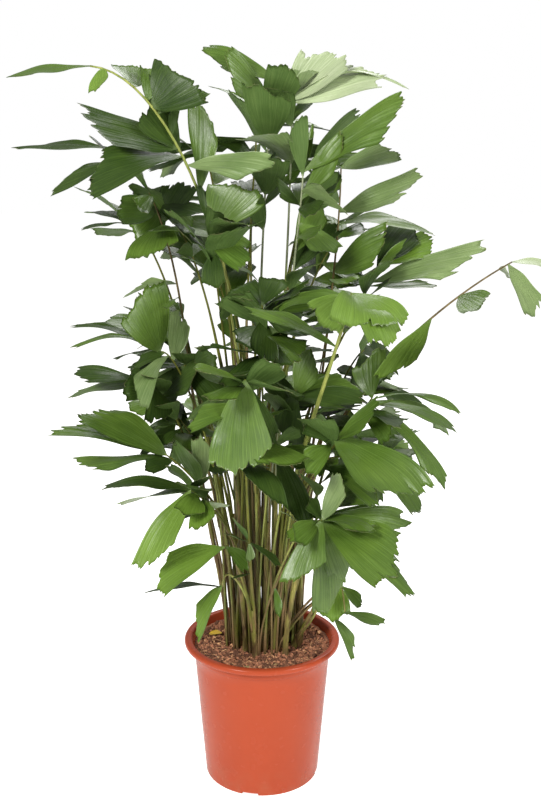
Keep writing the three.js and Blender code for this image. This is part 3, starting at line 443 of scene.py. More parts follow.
# Fronds: the cane, two spots of the arch, how many leaflets the rule adds, how stout the stalk is, its tone
# where that isn't olive, and the tones of the measured leaflets. Each leaflet has its place on the stalk, the
# spot of its far end, its width, the pixels that show of that width or else its roll, its sag in degrees and,
# where that was seen, which side of its end is drawn out and how far.
# The measured tones follow how light or dark each leaflet looked, so deep there is partly painted shade, and
# pale and grey partly a painted sheen.
fronds = [
    dict(name="frond_left_tall", cane=8, bend=(191, 74, -70), tip=(90, 66, -60), more=0, stout=1.25,
         stalkTone="bright", tones="mid fresh mid deep deep deep deep deep grey mid mid mid", leaflets=[
        dict(at=1, seen=(-1, 74, -60), width=36, shows=9, sag=8, tail=0.8),
        dict(at=0.96, seen=(97, 92, -85), width=38, shows=20, sag=10),
        dict(at=0.85, seen=(131, 62, -10), width=66, shows=38, sag=8),
        dict(at=0.78, seen=(193, 72, -70), width=104, shows=58, sag=14, tail=0.8),
        dict(at=0.7, seen=(174, 103, -30), width=24, shows=12, sag=0),
        dict(at=0.66, seen=(141, 100, -30), width=76, shows=40, sag=8),
        dict(at=0.67, seen=(72, 119, -70), width=84, shows=38, sag=8, tail=0.9),
        dict(at=0.65, seen=(74, 186, -120), width=84, shows=36, sag=40, tail=-0.9),
        dict(at=0.63, seen=(276, 165, -110), width=56, shows=28, sag=22),
        dict(at=0.57, seen=(204, 97, -10), width=54, shows=30, sag=6),
        dict(at=0.76, seen=(208, 85, -60), width=50, shows=26, sag=8, tail=0.8),
        dict(at=0.8, seen=(152, 68, -40), width=44, shows=24, sag=6, tail=-0.8),
    ]),
    dict(name="frond_left_second", cane=0, bend=(191, 223, 10), tip=(122, 150, 10), more=1,
         stalkTone="brown", tones="deep deep deep deep mid deep mid deep", leaflets=[
        dict(at=1, seen=(9, 139, 10), width=40, shows=10, sag=4, tail=-0.5),
        dict(at=0.96, seen=(50, 190, 50), width=36, shows=12, sag=16),
        dict(at=0.93, seen=(90, 194, 20), width=50, shows=18, sag=24),
        dict(at=0.79, seen=(112, 212, -20), width=62, shows=34, sag=24),
        dict(at=0.75, seen=(150, 262, -60), width=78, shows=44, sag=34),
        dict(at=0.8, seen=(203, 215, -30), width=44, shows=20, sag=20),
        dict(at=0.86, seen=(192, 232, 20), width=46, shows=24, sag=16),
        dict(at=0.76, seen=(187, 176, 0), width=60, shows=34, sag=6),
    ]),
    dict(name="frond_left_third", cane=7, bend=(199, 228, 50), tip=(158, 200, 50), more=4,
         tones="mid mid", leaflets=[
        dict(at=0.95, seen=(128, 238, -20), width=84, shows=50, sag=36, tail=-0.8),
        dict(at=0.85, seen=(236, 232, 20), width=60, roll=30, sag=20),
    ]),
    dict(name="frond_top_middle", cane=8, bend=(262, 215, 0), tip=(273, 78, 0), more=4,
         stalkTone="pale", tones="mid mid fresh mid mid", leaflets=[
        dict(at=1, seen=(199, 49, -20), width=50, shows=25, sag=16),
        dict(at=0.93, seen=(222, 56, -60), width=60, shows=32, sag=12, tail=0.8),
        dict(at=0.84, seen=(266, 78, -75), width=74, roll=0, sag=8),
        dict(at=0.82, seen=(225, 84, 40), width=42, roll=50, sag=4),
        dict(at=0.8, seen=(312, 136, -60), width=34, roll=0, sag=20),
    ]),
    dict(name="frond_top_pale", cane=9, bend=(293, 165, 0), tip=(292, 98, -10), more=3,
         stalkTone="pale", tones="grey pale pale pale mid pale", leaflets=[
        dict(at=1, seen=(292, 62, 20), width=92, shows=48, sag=6, tail=-0.8),
        dict(at=0.99, seen=(345, 52, -20), width=80, shows=36, sag=8, tail=0.4),
        dict(at=0.98, seen=(388, 66, -40), width=84, shows=40, sag=20, tail=0.8),
        dict(at=1, seen=(416, 87, -50), width=22, roll=4, sag=70, tail=0.6),
        dict(at=0.9, seen=(312, 93, 30), width=30, shows=10, sag=6),
        dict(at=0.98, seen=(322, 57, 5), width=84, shows=44, sag=8, tail=-0.8),
    ]),
    dict(name="frond_top_right", cane=4, bend=(301, 235, -40), tip=(303, 172, -40), more=2,
         stalkTone="pale", tones="mid mid mid mid deep mid", leaflets=[
        dict(at=1, seen=(414, 96, -80), width=66, shows=34, sag=14, tail=-0.8),
        dict(at=0.88, seen=(349, 135, -70), width=44, shows=24, sag=10, tail=-0.8),
        dict(at=0.98, seen=(297, 112, -50), width=34, shows=18, sag=8),
        dict(at=0.8, seen=(334, 258, -60), width=50, shows=28, sag=16),
        dict(at=0.86, seen=(272, 182, -60), width=30, shows=14, sag=8),
        dict(at=0.98, seen=(316, 118, -30), width=14, shows=6, sag=0),
    ]),
    dict(name="frond_right_upright", cane=10, bend=(340, 247, 10), tip=(341, 168, 10), more=2,
         stalkTone="brown", tones="grey grey mid grey mid mid", leaflets=[
        dict(at=1, seen=(404, 149, 0), width=54, shows=26, sag=8, tail=0.8),
        dict(at=0.84, seen=(432, 180, -30), width=62, shows=30, sag=14, tail=-0.6),
        dict(at=0.76, seen=(369, 226, 60), width=34, shows=14, sag=12),
        dict(at=0.8, seen=(433, 229, 40), width=46, shows=14, sag=40),
        dict(at=0.66, seen=(390, 234, -60), width=62, shows=34, sag=8),
        dict(at=0.92, seen=(322, 190, 40), width=30, shows=14, sag=8),
    ]),
    dict(name="frond_right_pale", cane=15, bend=(362, 306, 40), tip=(379, 265, 20), more=3,
         tones="grey grey fresh mid", leaflets=[
        dict(at=0.88, seen=(492, 254, -30), width=60, shows=26, sag=20, tail=-0.8),
        dict(at=0.86, seen=(441, 286, 50), width=28, shows=8, sag=6),
        dict(at=1, seen=(438, 238, 40), width=58, shows=26, sag=16),
        dict(at=0.9, seen=(347, 280, 60), width=30, shows=12, sag=10),
    ]),
    dict(name="frond_right_far", cane=10, bend=(428, 308, -70), tip=(512, 262, -60), more=0,
         stalkTone="brown", tones="pale grey pale mid fresh", leaflets=[
        dict(at=1, seen=(572, 272, -80), width=40, shows=10, sag=34),
        dict(at=0.985, seen=(538, 319, -120), width=56, shows=24, sag=16),
        dict(at=0.95, seen=(508, 275, 10), width=24, shows=8, sag=8),
        dict(at=0.8, seen=(484, 308, -130), width=60, shows=34, sag=16),
        dict(at=0.7, seen=(384, 386, -110), width=56, shows=26, sag=12, tail=1),
    ]),
    dict(name="frond_right_middle", cane=5, bend=(349, 432, -100), tip=(372, 398, -90), more=2,
         tones="mid mid mid mid mid mid", leaflets=[
        dict(at=1, seen=(369, 348, -50), width=62, shows=34, sag=6),
        dict(at=0.98, seen=(472, 420, -60), width=18, shows=5, sag=70, tail=-0.6),
        dict(at=0.97, seen=(461, 440, 20), width=32, shows=12, sag=56, tail=-0.8),
        dict(at=0.95, seen=(461, 437, -90), width=46, shows=13, sag=50),
        dict(at=0.88, seen=(397, 441, -160), width=50, shows=26, sag=50),
        dict(at=0.92, seen=(447, 494, -150), width=46, shows=16, sag=56),
    ]),
    dict(name="frond_front_arching", cane=5, bend=(329, 384, -240), tip=(352, 293, -190), more=2, stout=1.6,
         stalkTone="bright", tones="fresh fresh mid mid deep fresh", leaflets=[
        dict(at=1, seen=(397, 348, -245), width=104, shows=48, sag=60, tail=0.5),
        dict(at=0.985, seen=(317, 328, -235), width=76, shows=42, sag=50, tail=-0.5),
        dict(at=0.98, seen=(266, 303, -110), width=44, roll=-30, sag=24),
        dict(at=0.8, seen=(240, 298, -190), width=38, roll=-40, sag=14),
        dict(at=0.9, seen=(326, 322, -120), width=44, roll=0, sag=8),
        dict(at=0.99, seen=(362, 334, -272), width=104, shows=52, sag=60, tail=0.6),
    ]),
    dict(name="frond_front_middle", cane=3, bend=(243, 380, -170), tip=(245, 380, -200), more=2,
         tones="mid deep mid", leaflets=[
        dict(at=1, seen=(240, 481, -235), width=96, shows=58, sag=22, tail=0.4),
        dict(at=0.94, seen=(277, 450, -160), width=50, roll=20, sag=10),
        dict(at=0.9, seen=(200, 424, -120), width=60, roll=20, sag=30),
    ]),
    dict(name="frond_front_right", cane=6, bend=(328, 452, -150), tip=(334, 438, -170), more=2,
         tones="mid deep", leaflets=[
        dict(at=1, seen=(420, 504, -250), width=128, shows=60, sag=26, tail=-0.8),
        dict(at=0.97, seen=(306, 418, -190), width=50, shows=26, sag=10),
    ]),
    dict(name="frond_front_low_right", cane=6, bend=(312, 520, -140), tip=(322, 520, -190), more=1,
         tones="grey deep mid mid mid mid mid mid", leaflets=[
        dict(at=1, seen=(346, 474, -190), width=40, shows=22, sag=4),
        dict(at=0.98, seen=(308, 498, -170), width=30, shows=14, sag=4),
        dict(at=0.97, seen=(420, 528, -150), width=66, shows=36, sag=24, tail=-0.8),
        dict(at=0.99, seen=(404, 572, -270), width=108, shows=60, sag=22, tail=0.4),
        dict(at=0.98, seen=(298, 588, -235), width=66, shows=36, sag=18),
        dict(at=0.975, seen=(352, 584, -200), width=60, shows=38, sag=14),
        dict(at=0.98, seen=(430, 592, -290), width=60, shows=34, sag=24, tail=0.8),
        dict(at=0.97, seen=(330, 620, -215), width=56, shows=32, sag=12, tail=0.4),
    ]),
    dict(name="frond_low_right", cane=11, bend=(338, 530, -80), tip=(345, 612, -110), more=0,
         stalkTone="bright", tones="fresh mid mid", leaflets=[
        dict(at=0.5, seen=(337, 625, -130), width=56, shows=32, sag=14),
        dict(at=0.86, seen=(365, 608, -130), width=28, shows=13, sag=6),
        dict(at=1, seen=(388, 626, -120), width=30, shows=12, sag=14),
    ]),
    dict(name="frond_rim_right", cane=11, bend=(316, 586, -40), tip=(334, 618, -90), more=0,
         tones="mid", leaflets=[
        dict(at=1, seen=(361, 659, -112), width=32, shows=16, sag=10),
    ]),
    dict(name="frond_front_hanging", cane=4, bend=(275, 431, -110), tip=(276, 450, -130), more=3,
         tones="deep mid", leaflets=[
        dict(at=1, seen=(302, 532, -150), width=62, roll=0, sag=14),
        dict(at=0.95, seen=(322, 466, -100), width=56, roll=20, sag=20),
    ]),
    dict(name="frond_left_middle", cane=1, bend=(178, 345, -20), tip=(160, 352, 0), more=0,
         tones="mid deep mid deep deep grey grey", leaflets=[
        dict(at=1, seen=(140, 287, -30), width=100, shows=54, sag=6),
        dict(at=0.99, seen=(68, 327, 40), width=28, shows=9, sag=50, tail=-0.6),
        dict(at=0.98, seen=(64, 343, -20), width=30, shows=8, sag=60, tail=-0.8),
        dict(at=0.97, seen=(112, 354, 40), width=24, shows=5, sag=10),
        dict(at=0.92, seen=(130, 364, -20), width=34, shows=14, sag=8),
        dict(at=0.86, seen=(136, 414, -120), width=46, shows=22, sag=52, tail=-0.8),
        dict(at=0.8, seen=(183, 308, 0), width=44, shows=24, sag=4),
    ]),
    dict(name="frond_left_under", cane=0, bend=(172, 390, -10), tip=(148, 383, -20), more=3,
         tones="deep mid deep deep", leaflets=[
        dict(at=1, seen=(64, 372, -30), width=50, shows=14, sag=24),
        dict(at=0.97, seen=(62, 401, 30), width=44, shows=12, sag=30),
        dict(at=0.9, seen=(158, 428, -90), width=50, shows=26, sag=30),
        dict(at=0.8, seen=(200, 372, 10), width=56, shows=30, sag=10),
    ]),
    dict(name="frond_left_bright", cane=2, bend=(190, 470, -70), tip=(165, 454, -70), more=0,
         tones="mid mid mid deep", leaflets=[
        dict(at=1, seen=(38, 423, -105), width=50, shows=20, sag=24, tail=-0.8),
        dict(at=0.98, seen=(78, 402, -85), width=76, shows=38, sag=20, tail=-0.6),
        dict(at=0.99, seen=(64, 468, -60), width=40, shows=14, sag=2),
        dict(at=0.9, seen=(142, 467, -110), width=44, shows=20, sag=10),
    ]),
    dict(name="frond_left_low", cane=2, bend=(198, 492, -100), tip=(190, 489, -110), more=2,
         tones="deep fresh deep", leaflets=[
        dict(at=1, seen=(100, 495, -130), width=50, roll=-12, sag=50),
        dict(at=0.97, seen=(146, 577, -175), width=64, shows=30, sag=34, tail=0.8),
        dict(at=0.7, seen=(213, 509, -60), width=40, shows=20, sag=10),
    ]),
    dict(name="frond_low_left", cane=3, bend=(229, 538, -90), tip=(225, 547, -110), more=0,
         tones="fresh mid", leaflets=[
        dict(at=1, seen=(150, 588, -160), width=70, shows=34, sag=40, tail=-0.6),
        dict(at=0.97, seen=(251, 569, -120), width=34, shows=18, sag=20),
    ]),
    dict(name="frond_rim_left", cane=3, bend=(225, 554, -95), tip=(222, 587, -115), more=0,
         stalkTone="bright", tones="deep fresh", leaflets=[
        dict(at=1, seen=(141, 587, -110), width=42, roll=8, sag=18),
        dict(at=0.98, seen=(188, 636, -150), width=50, roll=0, sag=12),
    ]),
    dict(name="frond_inner_left", cane=12, bend=(196, 360, 30), tip=(184, 366, 0), more=8,
         tones="deep deep deep", leaflets=[
        dict(at=1, seen=(152, 412, 10), width=56, shows=30, sag=20),
        dict(at=0.95, seen=(226, 404, -40), width=62, shows=34, sag=20),
        dict(at=0.85, seen=(216, 352, -20), width=50, shows=26, sag=14),
    ]),
    dict(name="frond_inner_front", cane=7, bend=(214, 262, -40), tip=(210, 232, -50), more=8,
         tones="mid mid deep deep", leaflets=[
        dict(at=1, seen=(248, 180, -60), width=96, shows=54, sag=14),
        dict(at=0.94, seen=(254, 262, -80), width=66, shows=36, sag=20),
        dict(at=0.86, seen=(216, 292, -90), width=50, shows=26, sag=20),
        dict(at=0.98, seen=(204, 182, -30), width=34, shows=16, sag=6),
    ]),
    dict(name="frond_inner_middle", cane=8, bend=(268, 330, -60), tip=(262, 305, -80), more=9,
         tones="deep deep deep deep mid deep deep mid", leaflets=[
        dict(at=1, seen=(278, 274, -90), width=50, shows=26, sag=10),
        dict(at=0.97, seen=(234, 282, -80), width=62, shows=34, sag=14),
        dict(at=0.9, seen=(304, 330, -60), width=54, shows=30, sag=20),
        dict(at=0.85, seen=(262, 366, -110), width=56, shows=30, sag=20),
        dict(at=0.94, seen=(322, 296, -60), width=50, shows=26, sag=10),
        dict(at=0.8, seen=(238, 346, -70), width=50, shows=28, sag=10),
        dict(at=0.76, seen=(296, 368, -80), width=50, shows=28, sag=10),
        dict(at=0.46, seen=(367, 402, -75), width=92, shows=42, sag=12, tail=-0.6),
    ]),
    dict(name="frond_inner_low", cane=5, bend=(292, 405, -80), tip=(296, 390, -100), more=8,
         tones="deep mid", leaflets=[
        dict(at=1, seen=(286, 452, -110), width=56, shows=30, sag=20),
        dict(at=0.9, seen=(316, 350, -90), width=60, shows=32, sag=10),
    ]),
    dict(name="frond_inner_right", cane=10, bend=(345, 362, -20), tip=(364, 350, -20), more=8,
         tones="deep deep", leaflets=[
        dict(at=0.95, seen=(372, 396, -60), width=70, roll=0, sag=8),
        dict(at=0.8, seen=(344, 374, 30), width=30, roll=20, sag=10),
    ]),
    dict(name="frond_inner_flank", cane=12, bend=(194, 432, 20), tip=(176, 416, 30), more=6,
         tones="deep deep", leaflets=[
        dict(at=0.85, seen=(190, 474, -40), width=60, shows=32, sag=20),
        dict(at=1, seen=(150, 446, 20), width=50, shows=26, sag=20),
    ]),
]
# Fronds behind: cane, heading, reach and height
backFronds = [
    (12, 168, 235, 960), (17, 140, 250, 760), (13, 122, 205, 1080), (17, 104, 260, 560),
    (13, 92, 190, 1140), (16, 76, 265, 820), (14, 60, 215, 1060), (16, 118, 225, 900),
    (15, 30, 255, 700), (14, 44, 200, 930), (15, 12, 220, 560),
]
backFrond = dict(more=9, bendReach=0.72, bendRise=0.02)
# Gaps in the crown: the left, right, top and bottom edge in the front view
gaps = [
    (265, 289, 200, 288), (197, 211, 170, 194), (188, 214, 284, 338), (343, 376, 168, 204),
    (338, 354, 240, 262), (337, 361, 334, 374), (90, 184, 266, 282), (402, 480, 336, 384),
    (48, 124, 352, 366), (60, 140, 240, 262), (216, 240, 104, 134), (300, 330, 101, 124),
    (92, 118, 290, 305), (394, 424, 298, 314),
]


# A cane as the four points of a cubic curve, from the compost up and outwards.
def canePath(row):
    x, y, height = row
    foot = np.array([x, y, soilTop + footGap])
    top = np.array([x * cane["spread"], y * cane["spread"], soilTop + height])
    low = np.array([x, y, foot[2] + height / 3])
    high = top + cane["crook"] * (foot - top)
    high[2] = top[2] - height / 3
    return np.array([foot, low, high, top])


# The point at a share of a curve, and the way the curve runs there.
def pointOn(path, t):
    t = np.asarray(t, float)[..., None]
    a, b, c, d = path
    return a * (1 - t) ** 3 + 3 * b * t * (1 - t) ** 2 + 3 * c * t * t * (1 - t) + d * t**3


def wayOn(path, t):
    t = float(t)
    a, b, c, d = path
    return unit((b - a) * (1 - t) ** 2 + 2 * (c - b) * t * (1 - t) + (d - c) * t * t)


# A place on a limb as the solids have it, straight between its steps.
def placeOn(path, at):
    step = min(int(at * stalk["steps"]), stalk["steps"] - 1)
    share = at * stalk["steps"] - step
    before, after = pointOn(path, step / stalk["steps"]), pointOn(path, (step + 1) / stalk["steps"])
    return before * (1 - share) + after * share


# A frond behind, as a row like those of the measured fronds.
def backFrondRow(number, row):
    caneNumber, heading, reach, height = row
    x, y = math.cos(math.radians(heading)) * reach, math.sin(math.radians(heading)) * reach
    bend = (x * backFrond["bendReach"], y * backFrond["bendReach"], height * (1 + backFrond["bendRise"]))
    return dict(name=f"frond_back_{number + 1}", cane=caneNumber, bend=bend, tip=(x, y, height),
                more=backFrond["more"], leaflets=[])


allFronds = [dict(frond, bend=pointAt(frond["bend"]), tip=pointAt(frond["tip"])) for frond in fronds]
allFronds += [backFrondRow(number, row) for number, row in enumerate(backFronds)]


# Fronds that share a cane sit evenly round its top, in the order of their headings.
def seatHeading(frond, sharing):
    top = canePath(canes[frond["cane"]])[3]
    headings = [math.atan2(other["tip"][1] - top[1], other["tip"][0] - top[0]) for other in sharing]
    ordered = sorted(headings)
    step = 2 * math.pi / len(sharing)
    start = sum(heading - index * step for index, heading in enumerate(ordered)) / len(sharing)
    own = [other["name"] for other in sharing].index(frond["name"])
    return start + ordered.index(headings[own]) * step


# A stalk as the four points of a cubic curve: it leaves along its cane and arches over the bend to the tip.
def stalkPath(frond, move):
    sharing = [other for other in allFronds if other["cane"] == frond["cane"]]
    below = canePath(canes[frond["cane"]])
    lean = wayOn(below, 1)
    heading = seatHeading(frond, sharing)
    side = np.array([math.cos(heading), math.sin(heading), 0.0])
    side = unit(side - lean * side.dot(lean))
    foot = below[3] + lean * footGap
    if len(sharing) > 1:
        foot = foot + side * stalk["seat"]
    tip, bend = np.array(frond["tip"], float), np.array(frond["bend"], float)
    shift = unit(np.cross(tip - foot, (0, 0, 1))) * move[0] + np.array([0, 0, move[1]])
    rise = foot + lean * stalk["rise"] * np.linalg.norm(tip - foot)
    return np.array([foot, rise + shift, bend + shift, tip])


# How well a guess agrees with a solid: the share of its points that are corners of that solid.
cornersOf = {}
cornerNear = 0.06  # how far off a corner may be, in millimetres
leastFound = 0.3


def shareFound(nodeName, points):
    if nodeName not in cornersOf:
        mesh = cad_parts[nodeName].data
        tree = kdtree.KDTree(len(mesh.vertices))
        for index, vertex in enumerate(mesh.vertices):
            tree.insert(vertex.co / mm, index)
        tree.balance()
        cornersOf[nodeName] = tree
    distances = [cornersOf[nodeName].find(Vector(point))[2] for point in points]
    return sum(distance < cornerNear for distance in distances) / len(points)


# The corners of a stalk's rings, as its solid has them.
def stalkCorners(path):
    start = path[0]
    across = np.cross(path[3] - start, pointOn(path, bowAt) - start)
    across = unit(across) if np.linalg.norm(across) >= 1 else np.array([0.0, 1.0, 0.0])
    corners = []
    for ring in range(1, stalk["steps"]):
        t = ring / stalk["steps"]
        along = wayOn(path, t)
        side = unit(across - along * across.dot(along))
        other = np.cross(side, along)
        radius = stalk["footRadius"] + (stalk["tipRadius"] - stalk["footRadius"]) * t
        for corner in range(stalk["sides"]):
            turn = 2 * math.pi * corner / stalk["sides"]
            corners.append(pointOn(path, t) + (side * math.sin(turn) + other * math.cos(turn)) * radius)
    return corners


# The ways along a blade, out of its face and across it.
def bladeFrame(base, tip, roll):
    along = unit(tip - base)
    outward = unit(np.array([(base[0] + tip[0]) / 2, (base[1] + tip[1]) / 2, 0.0]))
    level = outward * leaflet["outward"] + along
    level[2] = 0
    face = unit(np.cross(np.cross(level, (0, 0, 1)), along))
    turn = math.radians(roll)
    face = face * math.cos(turn) + np.cross(along, face) * math.sin(turn)
    return along, face, np.cross(along, face)


# Lays points (across, along, out) of a flat leaflet on its sagging blade.
def onBlade(base, tip, roll, sag, across, forth, out):
    along, face, side = bladeFrame(base, tip, roll)
    length = np.linalg.norm(tip - base)
    turn = max(math.radians(sag), leaflet["leastTurn"])
    radius = length / (2 * math.sin(turn / 2))
    angle = turn * (0.5 - forth / length)
    forward = radius * (math.sin(turn / 2) - np.sin(angle)) - out * np.sin(angle)
    lift = radius * (np.cos(angle) - math.cos(turn / 2)) + out * np.cos(angle)
    return (base + forward[..., None] * along + lift[..., None] * face + across[..., None] * side)


# The corners of a leaflet's far end, as its solid has them.
def bladeCorners(base, tip, row, share):
    length = np.linalg.norm(tip - base)
    half = row["width"] * share / 2
    right = length * (leaflet["margin"] + leaflet["skewMargin"] * row["skew"])
    left = length * (leaflet["margin"] - leaflet["skewMargin"] * row["skew"])
    across = np.array([half, half * leaflet["skewTip"] * row["skew"], -half] * 2)
    forth = np.array([right, length, left] * 2)
    thick = max(leaflet["leastThickness"], leaflet["thickness"] * length) / 2
    out = np.array([thick] * 3 + [-thick] * 3)
    return onBlade(base, tip, row["roll"], row["sag"], across, forth, out)


# How far askew a leaflet's end is cut, to the left if negative.
def drawSkew(random):
    skew = random(-1, 1)
    least, most = leaflet["skew"]
    return math.copysign(least + (most - least) * abs(skew), skew)


# How a leaflet shows in the front view: its width in pixels, negative where its right hand is seen on the
# left, and whether its upper face shows.
def leafletSeen(base, tip, width, roll):
    _, face, side = bladeFrame(base, tip, roll)
    middle = base + (tip - base) * leaflet["margin"]
    across = pixelAt(middle + side * width / 2) - pixelAt(middle - side * width / 2)
    axis = unit(pixelAt(tip) - pixelAt(base))
    return axis[0] * across[1] - axis[1] * across[0], face.dot(eye - middle) > 0


# The roll at which a leaflet shows as wide as it was seen.
def rollShowing(base, tip, width, shows):
    def cost(roll):
        across, upper = leafletSeen(base, tip, width, roll)
        missed = abs(abs(across) - shows) + (0 if upper else rollSearch["wrongFace"])
        return missed + abs(roll) * rollSearch["perDegree"]

    return min(range(-rollSearch["most"], rollSearch["most"] + 1, rollSearch["step"]), key=cost)


# The leaflets of a frond that were measured, and those that the rule adds on alternate sides.
def measuredRows(frond, number, path):
    rows = []
    for index, row in enumerate(frond["leaflets"]):
        base, tip, width = placeOn(path, row["at"]), pointAt(row["seen"]), row["width"]
        roll = row["roll"] if "roll" in row else rollShowing(base, tip, width, row["shows"])
        hand = math.copysign(1, leafletSeen(base, tip, width, roll)[0])
        random = seededRandom(number * seeds["perFrond"] + index)
        skew = row["tail"] * hand if "tail" in row else drawSkew(random)
        rows.append(dict(at=row["at"], tip=tip, width=width, roll=roll, sag=row["sag"], skew=skew,
                         measured=index))
    return rows


def ruledRow(path, at, hand, random, sizes):
    along = wayOn(path, at)
    heading = math.atan2(along[1], along[0]) + hand * math.radians(random(*sizes["turn"]))
    rise = math.radians(random(*sizes["rise"])) + math.asin(along[2]) * rule["climb"]
    length = random(*sizes["length"])
    width = length * random(*sizes["width"])
    way = np.array([math.cos(heading) * math.cos(rise), math.sin(heading) * math.cos(rise), math.sin(rise)])
    roll = random(-sizes["roll"], sizes["roll"])
    return dict(at=at, tip=placeOn(path, at) + way * length, width=width, roll=roll,
                sag=random(*sizes["sag"]), skew=drawSkew(random), measured=None)


def ruledRows(frond, number, path):
    rows = []
    for k in range(frond["more"]):
        random = seededRandom(number * seeds["perFrond"] + seeds["ruledFrom"] + k)
        at = rule["from"] + (rule["to"] - rule["from"]) * (k + random(*rule["scatter"])) / frond["more"]
        rows.append(ruledRow(path, at, 1 if k % 2 == 0 else -1, random, rule))
    return rows


# A leaflet's far end, turned about the upright through its base, drawn in and moved along the line of sight.
def movedTip(base, tip, turn, share, depth):
    spin, reach = math.radians(turn), (tip - base) * share
    turned = base + np.array([reach[0] * math.cos(spin) - reach[1] * math.sin(spin),
                              reach[0] * math.sin(spin) + reach[1] * math.cos(spin), reach[2]])
    return turned + unit(turned - eye) * depth


# The leaflet as the solid has it, found among the tries. A measured one that the solid lacks stays as it is.
def settledLeaflet(frond, path, row):
    base = placeOn(path, row["at"])
    best, bestShare = None, leastFound
    for roll, turn, share, depth in ruledTries if row["measured"] is None else measuredTries:
        tip = movedTip(base, row["tip"], turn, share, depth)
        tried = dict(row, roll=row["roll"] + roll, tip=tip)
        found = shareFound(frond["name"], bladeCorners(base, tip, tried, share))
        if found > bestShare:
            best, bestShare = dict(tried, width=row["width"] * share), found
    if best is None and row["measured"] is not None:
        best = dict(row)
    return best


# Whether a leaflet leaves the crown open where it shows open.
def staysOutOfGaps(points):
    spots = np.array([pixelAt(point) for point in points])
    for left, right, top, bottom in gaps:
        across = (spots[:, 0] > left) & (spots[:, 0] < right)
        if np.any(across & (spots[:, 1] > top) & (spots[:, 1] < bottom)):
            return False
    return True


# Small leaflets that fill in between the ones of the solids, on fronds where the rule adds leaflets too. Each
# takes the first of a few draws that lies clear of the leaflets before it.
smallLeaflets = dict(
    count=8, draws=6, seedFrom=80, start=0.46, end=0.97, length=(62, 116), width=(0.38, 0.60),
    turn=(20, 88), rise=(-40, 34), roll=34, sag=(6, 40), room=7, edge=4, bare=("frond_front_arching",),
)


leafletPoints = dict(forth=(0.16, 0.97, 9), across=(-0.9, 0.9, 7), opening=1.6)


# Points spread over a leaflet from a little past its foot to its end.
def pointsOver(base, row):
    steps = [np.linspace(*leafletPoints[key]) for key in ("forth", "across")]
    forth, across = np.meshgrid(*steps, indexing="ij")
    length = np.linalg.norm(row["tip"] - base)
    wide = across * row["width"] / 2 * np.minimum(1, forth * leafletPoints["opening"])
    return onBlade(base, row["tip"], row["roll"], row["sag"], wide, forth * length, wide * 0).reshape(-1, 3)


def fitsIn(points, taken):
    edge = smallLeaflets["edge"]
    low, high = np.array(cadBox) / mm
    inBox = np.all(points > low + edge) and np.all(points < high - edge)
    return inBox and staysOutOfGaps(points) and not taken.isNear(points)


def smallRows(frond, number, path, taken):
    shape = smallLeaflets
    rows = []
    bare = frond["more"] == 0 or frond["name"] in shape["bare"]
    for k in range(0 if bare else shape["count"]):
        random = seededRandom(number * seeds["perFrond"] + shape["seedFrom"] + k)
        for _ in range(shape["draws"]):
            share = (k + random(*rule["scatter"])) / shape["count"]
            at = shape["start"] + (shape["end"] - shape["start"]) * share
            row = ruledRow(path, at, -1 if k % 2 == 0 else 1, random, shape)
            points = pointsOver(placeOn(path, at), row)
            if fitsIn(points, taken):
                rows.append(row)
                taken.add(points)
                break
    return rows


# The room that leaflets take up, as cells of a grid as wide as the room each keeps.
class TakenRoom:
    def __init__(self, cell):
        self.cell = cell
        self.cells = set()

    def cellsOf(self, points):
        return {tuple(cell) for cell in np.floor(points / self.cell).astype(int)}

    def add(self, points):
        self.cells |= self.cellsOf(points)

    def isNear(self, points):
        return not self.cells.isdisjoint(self.cellsOf(points))


# Fine leaflets: a faintly ribbed wedge with two skins, whose end is cut askew into uneven lobes and teeth.
bladeShape = dict(
    columnWidth=2.4, rowLength=8, columns=(10, 44), rows=(8, 20), thickness=0.4, footWidth=3.2,
    opening=(0.72, 0.95), reach=(0.4, 1.03), endPower=5, risesOver=(0.04, 0.4),
    ribEvery=13, leastRibs=2, ribHeight=(0.04, 0.22), ribWander=0.12, wanderWaves=5, wanderStart=6,
    camber=0.055, camberSpread=(0.2, 1.2), camberLow=0.3, flutter=0.016, flutterTurns=1.2, flutterSlant=1.5,
    twist=20, twistFrom=0.4, droop=(-0.03, 0.08), droopPower=3,
    lobeWidth=14, leastLobes=3, lobeSpread=(0.4, 1.7), lobeDepth=0.08, lobeSlant=(-0.02, 0.06),
    tooth=0.038, tail=0.05, tailFrom=0.75,
    splitFrom=60, splitOften=0.4, splitPlace=(-0.7, 0.7), splitWidth=(0.03, 0.07), splitDepth=(0.05, 0.20),
)
toneNames = list(leafTones)


# How far a blade reaches at each place across it: its plain end, and the end with lobes, teeth and splits.
def raggedEnd(places, width, skew, random):
    shape = bladeShape
    right = leaflet["margin"] + leaflet["skewMargin"] * skew
    left = leaflet["margin"] - leaflet["skewMargin"] * skew
    plain = np.interp(places, [-1, leaflet["skewTip"] * skew, 1], [left, 1, right])
    handed = places * math.copysign(1, skew)
    count = max(shape["leastLobes"], round(width / shape["lobeWidth"]))
    shares = np.array([random(*shape["lobeSpread"]) for _ in range(count)])
    edges = np.concatenate([[-1], -1 + 2 * np.cumsum(shares) / shares.sum()])
    lobe = np.clip(np.searchsorted(edges, handed, side="right") - 1, 0, count - 1)
    within = (handed - edges[lobe]) / (edges[lobe + 1] - edges[lobe])
    depths = np.array([random() ** 2 for _ in range(count)]) * shape["lobeDepth"]
    slants = np.array([random(*shape["lobeSlant"]) for _ in range(count)])
    tail = shape["tail"] * smoothStep(shape["tailFrom"], 1, handed)
    ragged = plain - depths[lobe] - slants[lobe] * (1 - within) + tail
    ragged -= shape["tooth"] * np.array([random() for _ in places])
    for _ in range(int(random() * width / shape["splitFrom"] + shape["splitOften"])):
        middle = random(*shape["splitPlace"])
        half, depth = random(*shape["splitWidth"]), random(*shape["splitDepth"])
        ragged -= depth * np.clip(1 - abs(places - middle) / half, 0, 1)
    return plain, np.clip(ragged, *shape["reach"])


